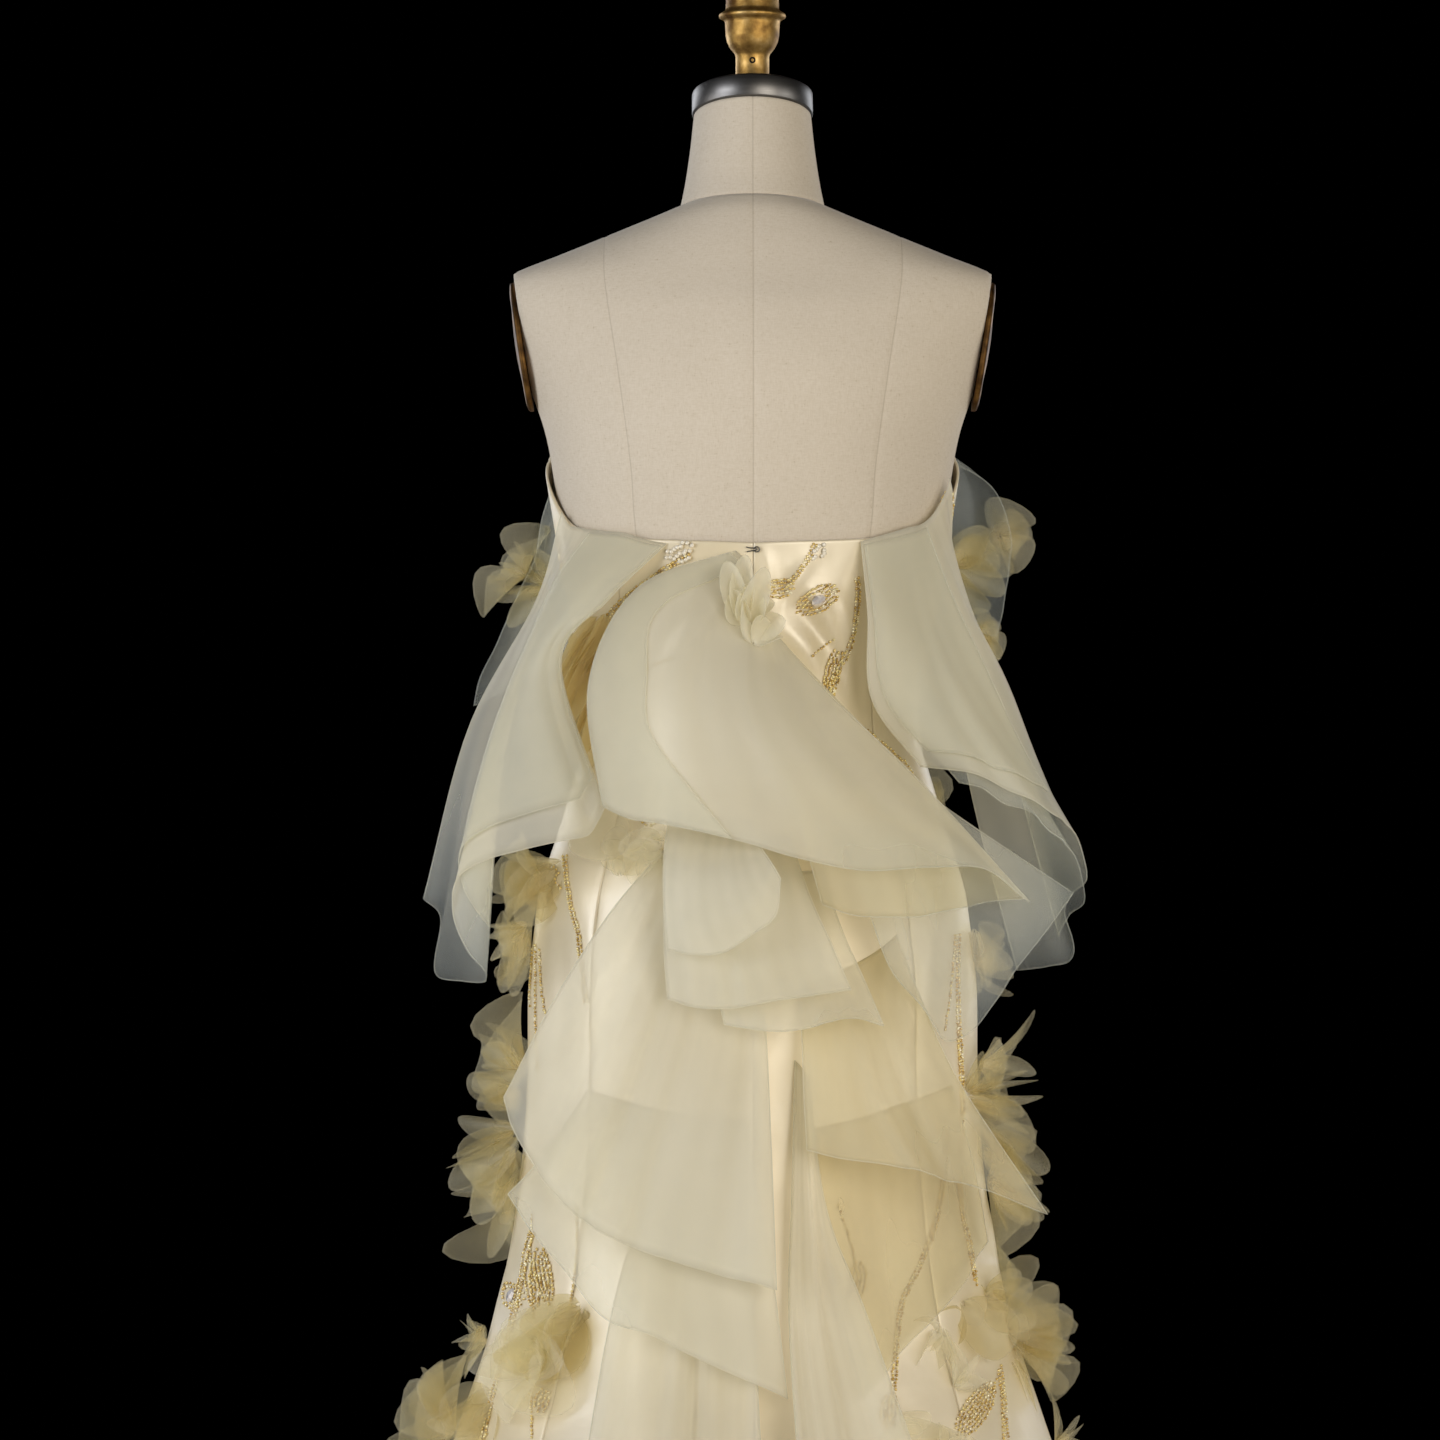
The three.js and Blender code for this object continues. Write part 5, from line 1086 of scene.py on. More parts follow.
# A flower sits on the gown at an angle and height, or on a ruffle at a share of its width and so many
# fifths of its length. size is its width, open how flat it lies, spin its turn, close how much nearer
# the cloth it sits than the others, and dense how deep the organza of its petals lies.
FLOWERS = [
    dict(on="swirl", s=0.62, row=1, size=50, open=0.7, spin=10, kind="round", dense=0.45),
    dict(on="loop_left", s=0.4, row=5, size=72, open=0.35, spin=0, kind="mixed"),
    dict(deg=62, z=1082, size=76, open=0.5, spin=30, kind="pleated", dense=0.5),
    dict(deg=38, z=938, size=74, open=0.7, spin=35, kind="round"),
    dict(deg=76, z=908, size=86, open=0.5, spin=15, kind="round"),
    dict(deg=90, z=856, size=72, open=0.5, spin=40, kind="mixed", close=0.5),
    dict(deg=92, z=764, size=98, open=0.35, spin=5, kind="mixed"),
    dict(deg=92, z=660, size=114, open=0.4, spin=20, kind="mixed"),
    dict(deg=97, z=540, size=66, open=0.45, spin=50, kind="pointed"),
    dict(deg=84, z=474, size=102, open=0.45, spin=12, kind="round"),
    dict(deg=50, z=540, size=84, open=0.9, spin=25, kind="round", dense=0.12),
    dict(deg=78, z=388, size=84, open=0.5, spin=42, kind="mixed"),
    dict(on="loop_right", s=0.5, row=4, size=66, open=0.4, spin=8, kind="round"),
    dict(on="loop_right", s=1, row=4, size=50, open=0.5, spin=20, kind="round"),
    dict(deg=-84, z=846, size=62, open=0.6, spin=45, kind="round", close=0.4),
    dict(deg=-91, z=764, size=114, open=0.25, spin=0, kind="pointed"),
    dict(deg=-89, z=670, size=98, open=0.45, spin=28, kind="mixed"),
    dict(deg=-74, z=558, size=102, open=0.65, spin=16, kind="round", close=0.5),
    dict(deg=-94, z=534, size=86, open=0.4, spin=32, kind="round"),
    dict(deg=-45, z=524, size=62, open=0.8, spin=6, kind="pointed"),
    dict(deg=-88, z=462, size=66, open=0.35, spin=48, kind="pointed"),
    dict(deg=-37, z=468, size=58, open=0.7, spin=18, kind="round"),
    dict(deg=-76, z=384, size=88, open=0.5, spin=38, kind="mixed"),
    dict(deg=130, z=1090, size=70, open=0.5, spin=14, kind="round"),
    dict(deg=-128, z=960, size=84, open=0.6, spin=36, kind="mixed"),
    dict(deg=126, z=640, size=88, open=0.6, spin=22, kind="round"),
    dict(deg=-124, z=590, size=84, open=0.6, spin=4, kind="mixed"),
]
# The petals of each kind of flower, from the outside in: how many, their share of the flower's radius,
# half width as a share of length, how much they stand up, and how pointed they are.
PETALS = {
    "round": [(4, 1.15, 0.55, 14, 0.0), (4, 1.0, 0.5, 40, 0.0), (2, 0.7, 0.42, 66, 0.1)],
    "mixed": [(4, 1.15, 0.52, 14, 0.0), (3, 1.0, 0.44, 42, 0.1), (4, 0.9, 0.14, 62, 0.5)],
    "pointed": [(5, 1.1, 0.22, 18, 0.4), (5, 1.0, 0.15, 44, 0.5), (4, 0.9, 0.13, 68, 0.6)],
    "pleated": [(6, 1.05, 0.3, 12, 0.2), (5, 0.95, 0.24, 36, 0.3), (3, 0.7, 0.2, 62, 0.5)],
}
# The large loose petals of the flowers, sewn on by hand: where each starts and where its tip lies (across
# and up), half its width, and how pointed it is.
LOOSE_PETALS = {
    "flower_07": [
        (186, 764, 216, 779, 10, 0), (185, 763, 199, 794, 3, 0.5), (186, 761, 204, 788, 4, 0.5),
        (186, 760, 220, 749, 15, 0), (189, 733, 221, 737, 12, 0), (191, 742, 230, 753, 12, 0),
        (189, 747, 211, 725, 13, 0),
    ],
    "flower_08": [
        (189, 717, 237, 718, 10, 0.1), (188, 714, 240, 680, 4, 0.5), (189, 714, 240, 694, 4, 0.5),
        (189, 711, 233, 676, 21, 0), (196, 699, 243, 669, 14, 0), (190, 692, 221, 639, 14, 0),
        (188, 676, 209, 611, 9, 0.2), (188, 699, 200, 648, 16, 0),
    ],
    "flower_09": [
        (215, 557, 241, 510, 7, 0.3), (218, 556, 226, 565, 4, 0.3), (213, 559, 232, 538, 8, 0.2),
    ],
    "flower_12": [
        (205, 513, 244, 489, 18, 0), (210, 508, 254, 482, 16, 0), (205, 501, 238, 465, 17, 0),
        (203, 505, 218, 460, 16, 0),
    ],
    "flower_10": [
        (135, 584, 195, 538, 27, 0), (132, 584, 152, 507, 18, 0), (134, 587, 180, 570, 15, 0),
    ],
    "flower_05": [
        (158, 923, 201, 914, 13, 0), (158, 925, 195, 894, 14, 0), (157, 922, 184, 878, 16, 0),
        (155, 922, 164, 878, 15, 0), (152, 928, 198, 930, 5, 0.5), (155, 920, 174, 892, 12, 0),
    ],
    "flower_06": [
        (181, 878, 210, 866, 6, 0.5), (181, 875, 208, 850, 6, 0.4), (181, 874, 203, 820, 9, 0.1),
        (183, 870, 191, 820, 9, 0.1), (181, 878, 211, 875, 4, 0.5),
    ],
    "flower_02": [
        (168, 1145, 209, 1145, 5, 0.4), (168, 1149, 204, 1163, 6, 0.4), (169, 1153, 191, 1173, 9, 0),
        (168, 1149, 206, 1136, 6, 0.3), (165, 1157, 173, 1176, 8, 0), (168, 1144, 196, 1119, 10, 0),
    ],
    "flower_04": [
        (71, 943, 104, 939, 13, 0), (73, 939, 97, 916, 14, 0), (69, 945, 88, 955, 9, 0),
        (104, 916, 111, 948, 12, 0), (76, 939, 119, 922, 12, 0.2), (76, 938, 82, 910, 11, 0),
    ],
    "flower_16": [
        (-169, 746, -198, 787, 13, 0), (-169, 747, -181, 777, 5, 0.2), (-169, 746, -195, 766, 3, 0.5),
        (-169, 746, -217, 764, 4, 0.5), (-170, 745, -223, 758, 4, 0.5), (-170, 744, -227, 737, 6, 0.3),
        (-172, 741, -213, 730, 9, 0.1),
    ],
    "flower_17": [
        (-174, 739, -222, 703, 17, 0), (-178, 723, -227, 668, 15, 0), (-188, 711, -235, 682, 13, 0),
        (-182, 715, -220, 665, 5, 0.4), (-175, 737, -221, 712, 5, 0.4), (-184, 699, -220, 672, 12, 0),
    ],
    "flower_19": [
        (-200, 676, -234, 650, 6, 0.4), (-202, 668, -232, 642, 10, 0.2), (-197, 668, -202, 631, 3, 0.6),
        (-196, 672, -220, 640, 10, 0.1),
    ],
    "flower_18": [
        (-182, 586, -220, 596, 13, 0), (-184, 586, -210, 607, 10, 0), (-184, 586, -162, 596, 7, 0.2),
        (-184, 586, -220, 566, 16, 0), (-162, 586, -202, 547, 22, 0), (-163, 579, -134, 563, 16, 0),
    ],
    "flower_23": [
        (-208, 549, -242, 557, 9, 0.1), (-209, 546, -256, 541, 9, 0.1), (-209, 544, -254, 530, 7, 0.3),
        (-208, 545, -235, 519, 15, 0),
    ],
    "flower_21": [
        (-206, 536, -230, 479, 4, 0.4), (-204, 534, -223, 473, 4, 0.4),
    ],
    "flower_20": [
        (-146, 568, -154, 519, 7, 0.2), (-148, 566, -167, 523, 2, 0.5), (-143, 566, -126, 532, 12, 0),
        (-145, 570, -124, 559, 14, 0),
    ],
    "flower_22": [
        (-108, 499, -149, 487, 17, 0), (-107, 502, -135, 509, 10, 0), (-107, 499, -116, 472, 14, 0),
    ],
    "flower_15": [
        (-176, 874, -182, 821, 8, 0.2), (-178, 872, -191, 830, 6, 0.3), (-174, 872, -170, 829, 8, 0.2),
    ],
    "flower_13": [
        (-165, 1170, -201, 1170, 16, 0), (-165, 1166, -189, 1194, 14, 0), (-165, 1162, -203, 1146, 14, 0),
        (-166, 1158, -189, 1128, 14, 0), (-165, 1166, -189, 1182, 12, 0),
    ],
    "flower_14": [
        (-172, 1093, -200, 1105, 11, 0), (-172, 1090, -200, 1087, 9, 0), (-172, 1097, -192, 1114, 9, 0),
    ],
    "flower_03": [
        (122, 1122, 152, 1074, 9, 0.1), (122, 1116, 157, 1056, 10, 0.1), (121, 1110, 154, 1044, 11, 0.1),
        (118, 1116, 144, 1068, 9, 0.2), (121, 1100, 152, 1030, 10, 0.1), (116, 1124, 138, 1080, 7, 0.2),
        (122, 1090, 148, 1020, 10, 0.1), (118, 1076, 140, 1006, 11, 0.1), (112, 1066, 132, 998, 11, 0.1),
    ],
    "flower_01": [
        (7, 1115, 21, 1163, 10, 0.1), (5, 1115, 8, 1169, 10, 0.1), (3, 1114, -9, 1156, 11, 0.1),
        (4, 1112, 16, 1139, 10, 0), (1, 1112, -14, 1134, 9, 0), (4, 1113, 1, 1144, 12, 0),
    ],
}
# How far the feet of a flower's loose petals stand off the cloth under them, where that is more than 2.
LOOSE_FORWARD = {"flower_04": 6, "flower_10": 8, "flower_20": 8, "flower_22": 8}
PETAL_ROWS = np.array([0.07, 0.2, 0.35, 0.5, 0.65, 0.8, 0.92, 0.97, 1.0])[:, None]
PETAL_RAYS = np.linspace(-1, 1, 19)[None, :]
PETAL_FAN = math.radians(76)
PLEATS = 4
RING_TURN = 37
draw = np.random.default_rng(7)


def petal_grid(long, wide, point):
    """One petal lying along X from its foot: an ellipse that touches the foot, drawn by rays from it. A
    pointed one narrows towards its tip. It is cupped, pleated at the foot, and ruffled at the edge."""
    phase, tip = draw.uniform(-math.pi, math.pi), draw.uniform(0.3, 1)
    turn = PETAL_RAYS * PETAL_FAN
    reach = PETAL_ROWS * np.cos(turn)
    x = reach * np.cos(turn)
    y = reach * np.sin(turn) * 2 * wide
    y = y * (1 - point * x**1.5)
    cup = 1.1 * y * y / max(wide, 0.1)
    ruffle = 0.075 * PETAL_ROWS**2 * np.sin(3.2 * turn + phase) * (1 - 0.8 * point)
    pleat = 0.02 * np.sin(PLEATS * 2 * turn + phase) * PETAL_ROWS * (1 - PETAL_ROWS) ** 1.5
    curl = -0.2 * tip * x * x
    return long * np.stack([x, y, cup + ruffle + pleat + curl], -1)


def petal_layers(dense):
    """A petal's edge is sealed and so is denser than its middle, and its foot is gathered."""
    layers = dense + 0.14 * PETAL_ROWS**60 + 0.6 * (1 - PETAL_ROWS) ** 2
    return np.minimum(1, layers) * np.ones(PETAL_RAYS.shape)


def petal_grids(flower):
    """All the petals of one flower about its own Z axis, each stood up from it and turned round it."""
    radius = flower["size"] / 2
    grids = []
    for ring, (count, long, wide, stand, point) in enumerate(PETALS[flower["kind"]]):
        for k in range(count):
            swing, tall, lift = draw.uniform(-1, 1, 3)
            grid = petal_grid(radius * long * (1.08 + 0.14 * tall), wide, point)
            up = math.radians(stand * (1.35 - 0.75 * flower["open"]) + 9 * lift)
            turn = math.radians(flower["spin"] + RING_TURN * ring) + 2 * math.pi * (k + 0.22 * swing) / count
            grid = grid @ np.array(Matrix.Rotation(turn, 3, "Z") @ Matrix.Rotation(-up, 3, "Y")).T
            grid[..., 2] = np.maximum(grid[..., 2] + 0.6 + 0.5 * ring, 0.1)
            grids.append(grid)
    return grids


def on_gown(spots, front=False):
    """Places on the gown's outside from distance across and height: the angle whose sine is that
    distance over the half width there. Gives the places and the direction out."""
    spots = np.asarray(spots, float)
    half = np.abs(gown_at(np.full(len(spots), 90.0), spots[:, 1])[:, 0])
    deg = np.degrees(np.arcsin(np.clip(spots[:, 0] / half, -0.985, 0.985)))
    deg = 180 - deg if front else deg
    out = gown_normal(deg, spots[:, 1])
    return gown_at(deg, spots[:, 1]) + out * creased(deg, spots[:, 1])[:, None], out


def loose_petals(rows, ruffle, forward):
    """Petals from their places on the gown, or on the top side of a ruffle, out to their tips. Each is
    tilted a little about its own length, and lies at its own depth."""
    grids = []
    for start_x, start_z, tip_x, tip_z, half_width, point in rows:
        place, way = on_gown([(start_x, start_z)])
        foot = place[0] + way[0] * forward
        foot[0] = foot[0] + np.clip(start_x - foot[0], -6, 6)
        if ruffle is not None:
            away = np.hypot(ruffle[..., 0] - start_x, ruffle[..., 2] - start_z)
            near = away < away.min() + 3
            foot = ruffle[near][ruffle[near][:, 1].argmax()] + np.array([0, forward, 0])
        run = np.array([tip_x, foot[1] + draw.uniform(-12, 16), tip_z]) - foot
        long = np.linalg.norm(run)
        grid = petal_grid(long, half_width / long, point)
        run = run / long
        side = np.cross(np.array([0.0, 1.0, 0.0]), run)
        side /= np.linalg.norm(side)
        face = np.cross(run, side)
        tilt = draw.uniform(-0.5, 0.5)
        across = side * math.cos(tilt) + face * math.sin(tilt)
        grids.append(foot + grid @ np.stack([run, across, face * math.cos(tilt) - side * math.sin(tilt)]))
    return grids


def flower_place(flower):
    """Where a flower's heart sits, and the direction it looks."""
    if "on" in flower:
        grid = middles[flower["on"]]
        i = round(flower["row"] / 5 * RUFFLE_ROWS)
        j = round(flower["s"] * (grid.shape[1] - 1))
        place, out = grid[i, j], normals(grid)[i, j]
        out = out if out[:2] @ place[:2] > 0 else -out
        off = FLOWER_OFF + ORGANZA / 2
    else:
        deg, z = float(flower["deg"]), float(flower["z"])
        place, out = gown_at(deg, z), gown_normal(deg, z)
        off = FLOWER_OFF + float(seat_off(z)) - flower.get("close", 0)
    return place, out, off - PETAL_THICKNESS


petal_organza = sheer("petal_organza", 0.08, 0.7, "#F6F4EA", "#FAF6E7", "#FFFEF9")
# A darker copy of the petal organza: painted shade for the flowers at the sides.
petal_organza_painted_shade = sheer("petal_organza_painted_shade", 0.07, 0.66, "#EAE8D7", "#EFE7CB", "#FCF9ED")
# Denser petal organza for the pleated flower. The density is its gathered pleats, and its gold colour is
# painted shade of the deep gap it sits in.
dense_organza_gold_shade = sheer("dense_petal_organza_painted_shade", 0.2, 0.85, "#F6ECCB", "#F3E4B8", "#FFFDF2")
for index, flower in enumerate(FLOWERS):
    name = f"flower_{index + 1:02d}"
    place, out, off = flower_place(flower)
    turn = np.array(Vector((0, 0, 1)).rotation_difference(Vector(out)).to_matrix())
    grids = [g @ turn.T + place + out * off for g in petal_grids(flower)]
    loose = LOOSE_PETALS.get(name, [])
    if loose:
        # The flower's own petals that would stand before its loose ones are left off.
        heart = place[1] - 0.12 * flower["size"]
        grids = [g for g in grids if g[-1, g.shape[1] // 2, 1] < heart]
    grids += loose_petals(loose, middles.get(flower.get("on")), LOOSE_FORWARD.get(name, 2))
    skins = [normals(grid) * PETAL_SHEER for grid in grids]
    points, quads = joined([wall(grid + skin, grid - skin) for grid, skin in zip(grids, skins)])
    layers = np.tile(petal_layers(flower.get("dense", 0.15)).ravel(), 2 * len(grids))
    # Flowers at the sides take the darker copy of the petal organza, which paints in their shade.
    at_back = flower.get("on") == "swirl" or abs(flower.get("deg", 90)) < 60
    finish = petal_organza if at_back else petal_organza_painted_shade
    finish = dense_organza_gold_shade if flower["kind"] == "pleated" else finish
    mesh_object("organza_" + name, points, quads, [finish], "petal", name, fields={"layers": layers})


# ---- Bead vines ----
# Vines of gold-lined glass beads about 2.4 mm across are threaded and couched to the satin, with leaves
# of close oval beads, small pearls, and oval crystals in the leaves.
BEAD = 1.25
BEAD_PITCH = 2.5
LEAF_BEAD = (1.6, 1.1, 1.25)
LEAF_PITCH = 2.7
PEARL = 1.9
VINE_ROWS = 1.3
VINE_DRIFT, LEAF_DRIFT = 0.22, 0.3
BALL_BANDS, BALL_SIDES = 5, 6
# A vine is a row of places on the gown: distance from its centre line and height. A leaf has its centre,
# length, width and slope, and a stone's length if it has one in the middle, or "pearls" for a leaf of
# pearls. The side is the back or the front of the gown.
VINES_BACK = [
    [(-48, 1177), (-44, 1169), (-39, 1161), (-33, 1153), (-26, 1146)],
    [(-81, 1151), (-82, 1142), (-81, 1126), (-78, 1107), (-73, 1091), (-64, 1073), (-59, 1056)],
    [(50, 1168), (66, 1160), (82, 1149), (100, 1136), (112, 1124), (122, 1110)],
    [(1, 1124), (-9, 1112), (-21, 1100), (-29, 1092)],
    [(-46, 1091), (-54, 1096), (-63, 1103)],
    [(148, 932), (146, 914), (142, 892), (136, 871), (134, 850), (130, 820)],
    [(178, 857), (177, 836), (176, 813)],
    [(171, 861), (170, 830), (170, 788), (168, 764)],
    [(168, 858), (166, 831), (162, 806)],
    [(157, 923), (153, 919), (156, 913), (151, 907)],
    [(173, 650), (173, 637), (173, 605), (172, 573)],
    [(173, 637), (178, 614), (184, 591), (190, 563), (196, 537), (202, 516), (208, 490), (214, 460)],
    [(171, 637), (176, 614), (181, 591), (187, 563)],
    [(137, 660), (137, 628), (139, 605), (142, 586)],
    [(173, 520), (172, 502), (172, 470), (174, 440)],
    [(-159, 870), (-158, 855), (-155, 828), (-150, 797)],
    [(-162, 870), (-162, 850), (-163, 803), (-165, 748), (-163, 700)],
    [(-163, 800), (-164, 775), (-166, 748), (-165, 725)],
    [(-152, 720), (-148, 680), (-141, 647), (-127, 614), (-115, 592), (-110, 563), (-107, 530), (-102, 507)],
    [(-162, 680), (-165, 651), (-171, 627), (-175, 597)],
    [(-160, 676), (-163, 651), (-168, 627), (-173, 601)],
    [(-65, 666), (-74, 639), (-80, 612)],
    [(-184, 517), (-190, 526), (-194, 534)],
    [(-193, 531), (-197, 509), (-198, 480), (-204, 440), (-214, 400)],
    [(-191, 531), (-194, 509), (-195, 480)],
    [(-120, 1008), (-128, 993), (-138, 976)],
    [(-64, 1050), (-92, 1030), (-118, 1008)],
    [(129, 1044), (134, 1028), (135, 1010), (133, 990)],
    [(89, 962), (82, 957), (74, 960)],
    [(60, 1090), (84, 1080), (104, 1062), (118, 1040)],
]
LEAVES_BACK = [
    (-20, 1143, 22, 14, 10, 0), (-50, 1134, 36, 18, 32, 10), (-62, 1076, 40, 12, 74, 0),
    (-58, 1058, 28, 11, 82, 0), (163, 606, 42, 13, 100, 0), (172, 598, 36, 9, 94, 0),
    (189, 586, 22, 18, 10, 12), (144, 577, 20, 14, 10, 0), (164, 514, 18, 10, 70, 0),
    (-79, 607, 30, 13, 80, 0), (-103, 512, 24, 12, 82, 0), (-171, 506, 44, 20, 48, 0),
    (57, 1171, 22, 14, 20, "pearls"), (-50, 1172, 14, 10, 60, "pearls"), (132, 1018, 30, 11, 80, 0),
    (160, 1170, 34, 12, 84, 0), (-151, 1200, 46, 12, 80, 0),
]
VINES_FRONT = [
    [(0, 1240), (-8, 1205), (6, 1170), (-4, 1130), (10, 1085), (2, 1040), (-10, 1000)],
    [(46, 1262), (62, 1236), (58, 1204), (70, 1172), (60, 1136), (66, 1098)],
    [(-46, 1262), (-60, 1232), (-56, 1198), (-72, 1168), (-62, 1130), (-70, 1092)],
    [(112, 1244), (118, 1206), (108, 1168), (116, 1126), (104, 1086)],
    [(-112, 1244), (-116, 1200), (-106, 1164), (-114, 1120), (-102, 1080)],
    [(40, 960), (52, 916), (44, 868), (56, 820), (48, 772), (58, 720)],
    [(-40, 950), (-54, 902), (-46, 856), (-60, 806), (-50, 758), (-58, 704)],
    [(110, 900), (118, 850), (108, 796), (116, 740), (104, 690)],
    [(-110, 890), (-120, 838), (-108, 790), (-118, 730), (-106, 676)],
    [(8, 740), (-6, 690), (10, 636), (-4, 584), (12, 530), (2, 480)],
    [(70, 640), (84, 590), (76, 538), (90, 486), (84, 430), (98, 380)],
    [(-74, 630), (-86, 578), (-80, 524), (-96, 470), (-88, 416), (-104, 360)],
    [(140, 600), (150, 548), (146, 494), (160, 438)],
    [(-140, 590), (-152, 536), (-146, 482), (-164, 424)],
]
LEAVES_FRONT = [
    (0, 1196, 44, 20, 70, 11), (64, 1186, 36, 14, 100, 0), (-64, 1180, 36, 14, 78, 0),
    (112, 1146, 32, 12, 84, 0), (-110, 1142, 32, 12, 96, 0), (4, 1062, 40, 16, 92, 10),
    (50, 844, 38, 15, 76, 0), (-54, 830, 38, 15, 104, 0), (112, 768, 34, 13, 80, 0),
    (-114, 760, 34, 13, 100, 0), (4, 610, 46, 19, 84, 11), (84, 512, 36, 14, 70, 0),
    (-90, 500, 36, 14, 108, 0), (0, 470, 36, 14, 90, 0),
]


def bead_glass():
    """Gold-lined glass seed beads: clear glass over a gilt hole, so each is a deep yellow with one hard
    white glint. Shade differs from bead to bead."""
    made, tree, place = new_material("gold_lined_glass")
    each = node(tree, "TexVoronoi", {"Scale": 400, "Vector": place}).outputs["Color"]
    each = node(tree, "SeparateColor", {"Color": each})
    stops = [(0, "#B08A38"), (0.3, "#DDB95E"), (0.7, "#F6E49C"), (1, "#FFF9DC")]
    colour = node(tree, "ValToRGB", {"stops": stops, "Fac": each})
    look = {"Metallic": 0.15, "Roughness": 0.2, "IOR": 1.8, "Coat Weight": 1.0, "Coat Roughness": 0.03}
    look = node(tree, "BsdfPrincipled", {**look, "Base Color": colour})
    node(tree, "OutputMaterial", {"Surface": look})
    return made


def plain_finish(name, look, low, high, scale):
    """A finish of two near shades in a soft noise."""
    made, tree, place = new_material(name)
    cloud = node(tree, "TexNoise", {"Scale": scale, "Vector": place})
    colour = node(tree, "ValToRGB", {"stops": [(0.3, low), (0.7, high)], "Fac": cloud})
    look = node(tree, "BsdfPrincipled", {**look, "Base Color": colour})
    node(tree, "OutputMaterial", {"Surface": look})
    return made


def bead_mesh(name, centres, outs, aheads, sizes, material, flat=False):
    """One low round mesh for all beads of a kind: each is a ball of six sides and four bands, sized
    along its vine, across it and out of the cloth."""
    band = np.array([0.0, 0.62, 1.0, 0.62, 0.0])[:, None]
    height = np.array([-1.0, -0.74, 0.0, 0.74, 1.0])[:, None]
    turn = full_turn(BALL_SIDES)
    ball = [height + 0 * turn, band * np.cos(turn), band * np.sin(turn)]
    ball = np.stack(ball, -1).reshape(-1, 3)
    side = unit(np.cross(outs, aheads))
    axes = np.stack([np.cross(side, outs), side, outs], 1)
    points = centres[:, None] + (ball[None] * sizes[:, None]) @ axes
    quads = grid_quads(BALL_BANDS, BALL_SIDES, wrap=True)[:, ::-1]
    quads = quads[None] + len(ball) * np.arange(len(centres))[:, None, None]
    points, quads = points.reshape(-1, 3), quads.reshape(-1, 4)
    return mesh_object(name, points, quads, [material], "petal", weld=True, flat=flat)


def vine_beads(vines, front):
    """Beads along each vine at an even pitch, with a little unevenness from the hand. A long vine has
    two rows."""
    places, outs, aheads = [], [], []
    both = (-VINE_ROWS, VINE_ROWS)
    for vine, shift in [(v, k) for v in vines for k in (both if len(v) > 4 else (0,))]:
        path = spline(np.array(vine, float), np.linspace(0, 1, 400))
        step = unit(np.gradient(path, axis=0))
        path = path + shift * np.stack([-step[:, 1], step[:, 0]], 1)
        reach = np.concatenate([[0], np.cumsum(np.linalg.norm(np.diff(path, axis=0), axis=1))])
        stops = np.linspace(0, reach[-1], max(2, int(reach[-1] / BEAD_PITCH)))
        spots = np.stack([np.interp(stops, reach, path[:, k]) for k in (0, 1)], 1)
        spots += draw.normal(0, VINE_DRIFT, spots.shape)
        place, out = on_gown(spots, front)
        places.append(place + out * (BEAD * 0.85))
        outs.append(out)
        aheads.append(np.gradient(place, axis=0))
    return places, outs, aheads


def leaf_spots(leaf, front):
    """Bead places in a pointed oval: rows square to its length, closer at the ends, and none where the
    crystal sits. The slope is as the viewer sees it, so the back turns the other way."""
    x, z, long, wide, lean, stone = leaf
    lean = math.radians(lean)
    rows = np.arange(-long / 2, long / 2 + 0.1, LEAF_PITCH)
    half = wide / 2 * np.sqrt(np.clip(1 - (2 * rows / long) ** 2, 0, 1))
    lines = [np.linspace(-h, h, max(1, int(2 * h / LEAF_PITCH) + 1)) for h in half]
    spots = np.array([(r, c) for r, line in zip(rows, lines) for c in line])
    spots += draw.normal(0, LEAF_DRIFT, spots.shape)
    if stone and stone != "pearls":
        spots = spots[np.hypot(spots[:, 0] / (stone / 2 * 1.25), spots[:, 1] / (stone / 2 * 0.95)) > 1]
    mirror = 1 if front else -1
    x = x + mirror * (spots[:, 0] * math.cos(lean) - spots[:, 1] * math.sin(lean))
    z = z + spots[:, 0] * math.sin(lean) + spots[:, 1] * math.cos(lean)
    return np.stack([x, z], 1)


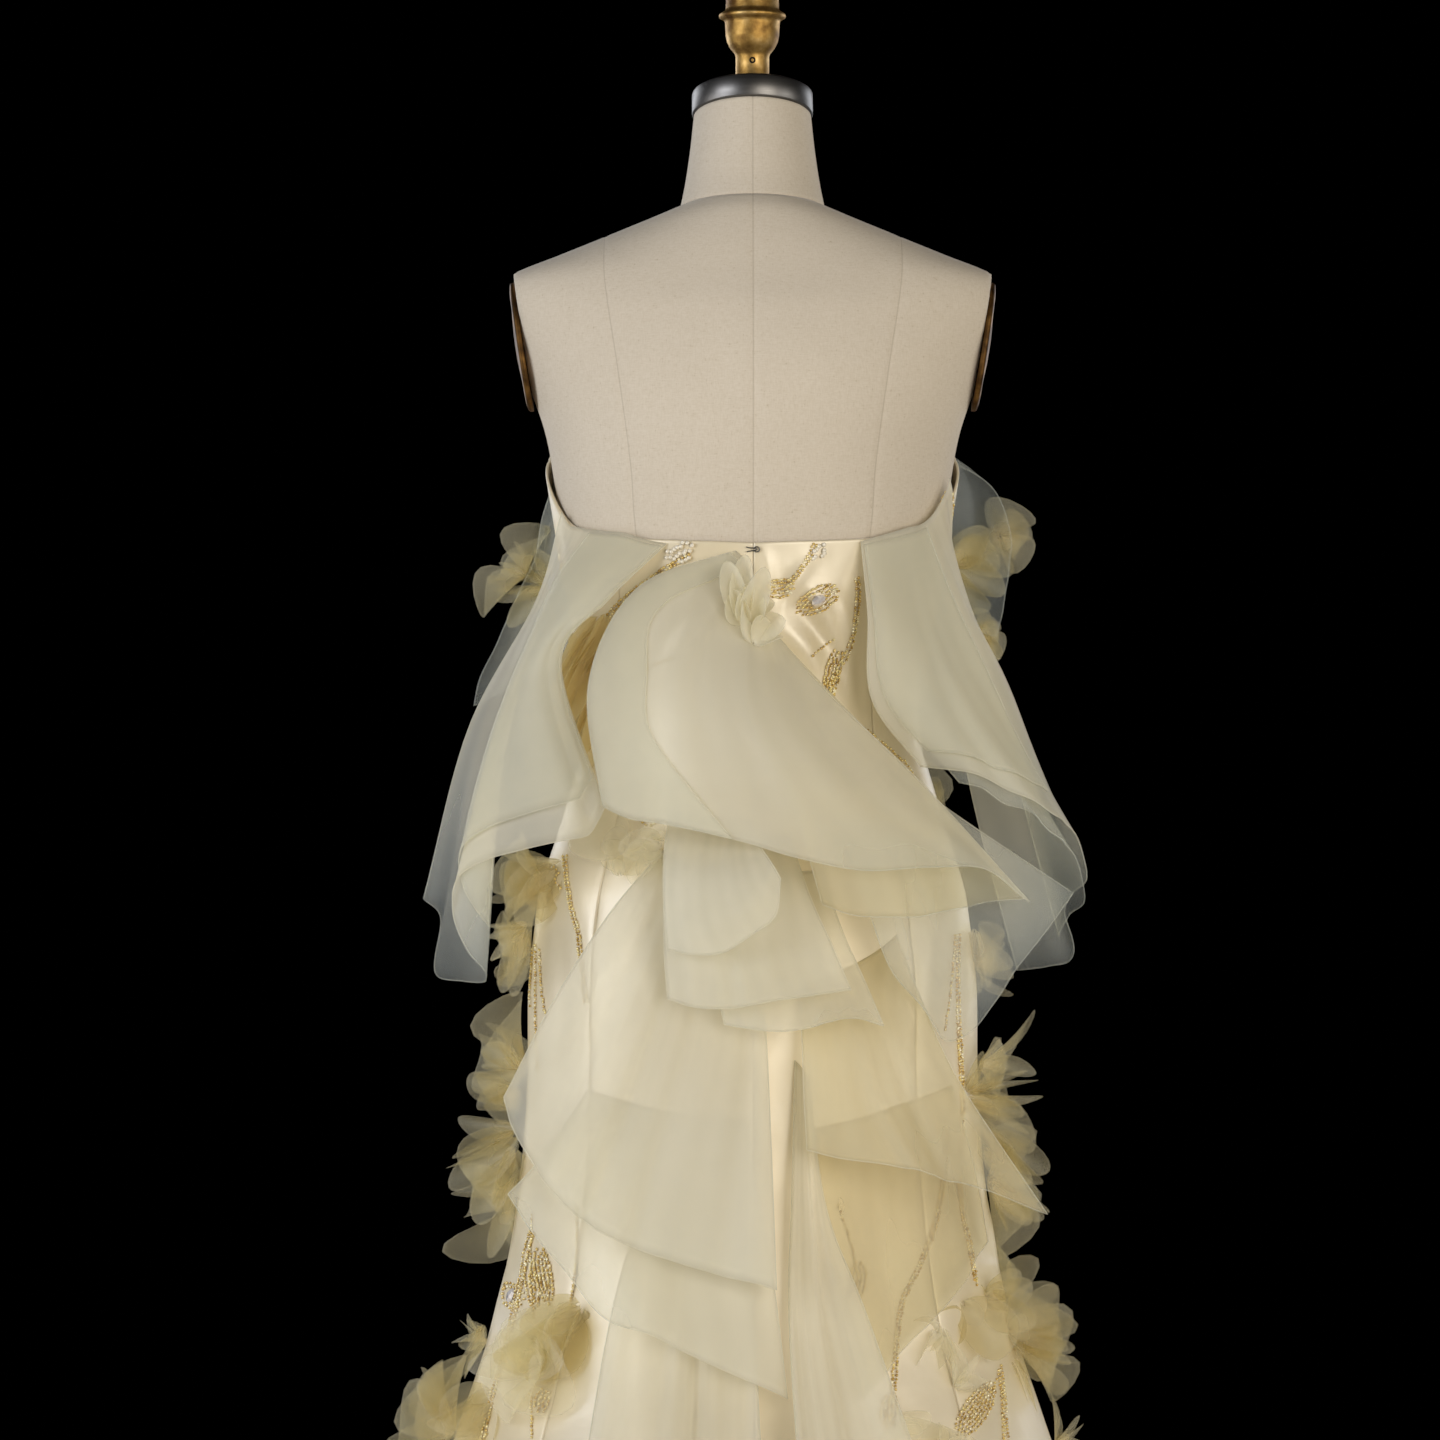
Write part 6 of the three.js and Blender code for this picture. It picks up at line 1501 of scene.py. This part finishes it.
seed_beads = bead_glass()
glow = {"Roughness": 0.22, "Coat Weight": 0.6, "Coat Roughness": 0.08, "Sheen Weight": 0.3}
pearl = plain_finish("glass_pearl", glow, "#E6DCC6", "#F4EDDD", 300)
foil = {"Metallic": 0.35, "Roughness": 0.08, "Coat Weight": 1.0}
crystal = plain_finish("foiled_crystal", foil, "#EBDCD8", "#FFFFFF", 600)
crystals, pearls = [], []
for side, vines, leaves in (("back", VINES_BACK, LEAVES_BACK), ("front", VINES_FRONT, LEAVES_FRONT)):
    front = side == "front"
    places, outs, aheads = vine_beads(vines, front)
    sizes = [np.full((len(p), 3), BEAD) * draw.uniform(0.88, 1.08, (len(p), 1)) for p in places]
    for leaf in leaves:
        x, z, _, _, lean, stone = leaf
        place, out = on_gown(leaf_spots(leaf, front), front)
        lean = math.radians(lean + draw.uniform(-8, 8))
        across = math.cos(lean) * (1 if front else -1)
        ahead = np.broadcast_to([across, 0.0, math.sin(lean)], place.shape)
        if stone == "pearls":
            pearls.append((place[::2] + out[::2] * 1.6, out[::2], ahead[::2]))
            continue
        places.append(place + out * (BEAD * 1.1))
        outs.append(out)
        aheads.append(ahead)
        sizes.append(np.array([LEAF_BEAD]) * draw.uniform(0.85, 1.1, (len(place), 1)))
        if stone:
            spot, way = on_gown([(x, z)], front)
            crystals.append((spot + way * 2.2, way, ahead[:1], [(stone * 0.62, stone * 0.42, 3.0)]))
    bead_mesh("bead_vines_" + side, *map(np.concatenate, (places, outs, aheads, sizes)), seed_beads)
centres, outs, aheads = map(np.concatenate, zip(*pearls))
bead_mesh("small_pearls", centres, outs, aheads, np.full(centres.shape, PEARL), pearl)
bead_mesh("oval_crystals", *map(np.concatenate, zip(*crystals)), crystal, flat=True)


# ---- Hook and eye ----
# The hook and eye above the zip are bent from steel wire 1 mm thick and sewn to the back gores.
WIRE_RADIUS = 0.5
EYE = {"x": -2.6, "z": 1173.2, "wide": 2.2, "high": 2.0, "open": 0.4}
HOOK = [(5.5, 1175.2), (3.5, 1174.6), (0, 1174.2), (-2.4, 1173.8), (-2.4, 1172.8), (0, 1172.4), (5, 1171.4)]
turn = np.linspace(EYE["open"], 2 * math.pi - EYE["open"], 30)
eye = np.stack([EYE["x"] + EYE["wide"] * np.cos(turn), EYE["z"] + EYE["high"] * np.sin(turn)], 1)
hook = spline(np.array(HOOK, float), np.linspace(0, 1, 40))
wires = []
for wire, lift in ((eye, 0.9), (hook, 1.9)):
    place, out = on_gown(wire)
    wires.append(tube(place + out * lift, WIRE_RADIUS))
mesh_object("hook_and_eye", *joined(wires), [steel], "steel", weld=True)


# ---- Studio ----
# A plain pale floor under the stand, soft boxes on both sides of the back, weaker ones at the front,
# and no light from the room, so the background is black.
FLOOR_RADIUS = 2300
floor_disc = turned([(FLOOR_RADIUS, -6), (FLOOR_RADIUS, -0.6), (FLOOR_RADIUS - 1, -0.5)], 96)
floor_paint = plain_finish("matt_floor_paint", {"Roughness": 0.8}, "#CFCBC4", "#D8D4CD", 3)
ring_solid("floor", floor_disc, floor_paint)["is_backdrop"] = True

scene = bpy.context.scene
world = bpy.data.worlds.new("dark_room")
world.use_nodes = True
world.node_tree.nodes["Background"].inputs["Color"].default_value = linear("#000000")
scene.world = world
scene.view_settings.view_transform = "Standard"
# A look through a flower crosses up to 20 sheets of organza, and each sheet has two skins.
scene.cycles.transparent_max_bounces = 32
AIM = Vector((0, 0, 1.0))
# Each soft box's place and size in metres, its power in watts, and its tint.
for name, place, size, watts, tint in (
    ("key_box", (2.7, 2.1, 1.6), 1.8, 64, "#F6F9FF"),
    ("fill_box", (-1.5, 3.3, 1.3), 1.8, 67, "#FFF8EC"),
    ("edge_box", (-2.9, 1.4, 1.2), 1.2, 18, "#FFFBF4"),
    ("low_box", (3.0, 0.7, 0.5), 1.2, 14, "#FFFDFA"),
    ("front_left_box", (2.0, -2.4, 1.7), 1.6, 26, "#F4F8FF"),
    ("front_right_box", (-2.1, -2.3, 1.5), 1.6, 22, "#F4F8FF"),
):
    lamp = bpy.data.lights.new(name, "AREA")
    lamp.shape = "SQUARE"
    lamp.size = size
    lamp.energy = watts
    lamp.color = linear(tint)[:3]
    held = bpy.data.objects.new(name, lamp)
    held.location = place
    held.rotation_euler = (AIM - Vector(place)).to_track_quat("-Z", "Y").to_euler()
    scene.collection.objects.link(held)

lens = bpy.data.cameras.new("camera")
lens.sensor_width = 36
lens.lens = 125
camera = bpy.data.objects.new("camera", lens)
camera.location = (0.026, 4.0, 1.040)
camera.rotation_euler = (math.pi / 2, 0, math.pi)
scene.collection.objects.link(camera)
scene.camera = camera


def plain(box):
    """Both corners of a box as plain lists."""
    return [[float(v) for v in corner] for corner in box]


{"cad": plain(cad_box), "visual": plain(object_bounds())}
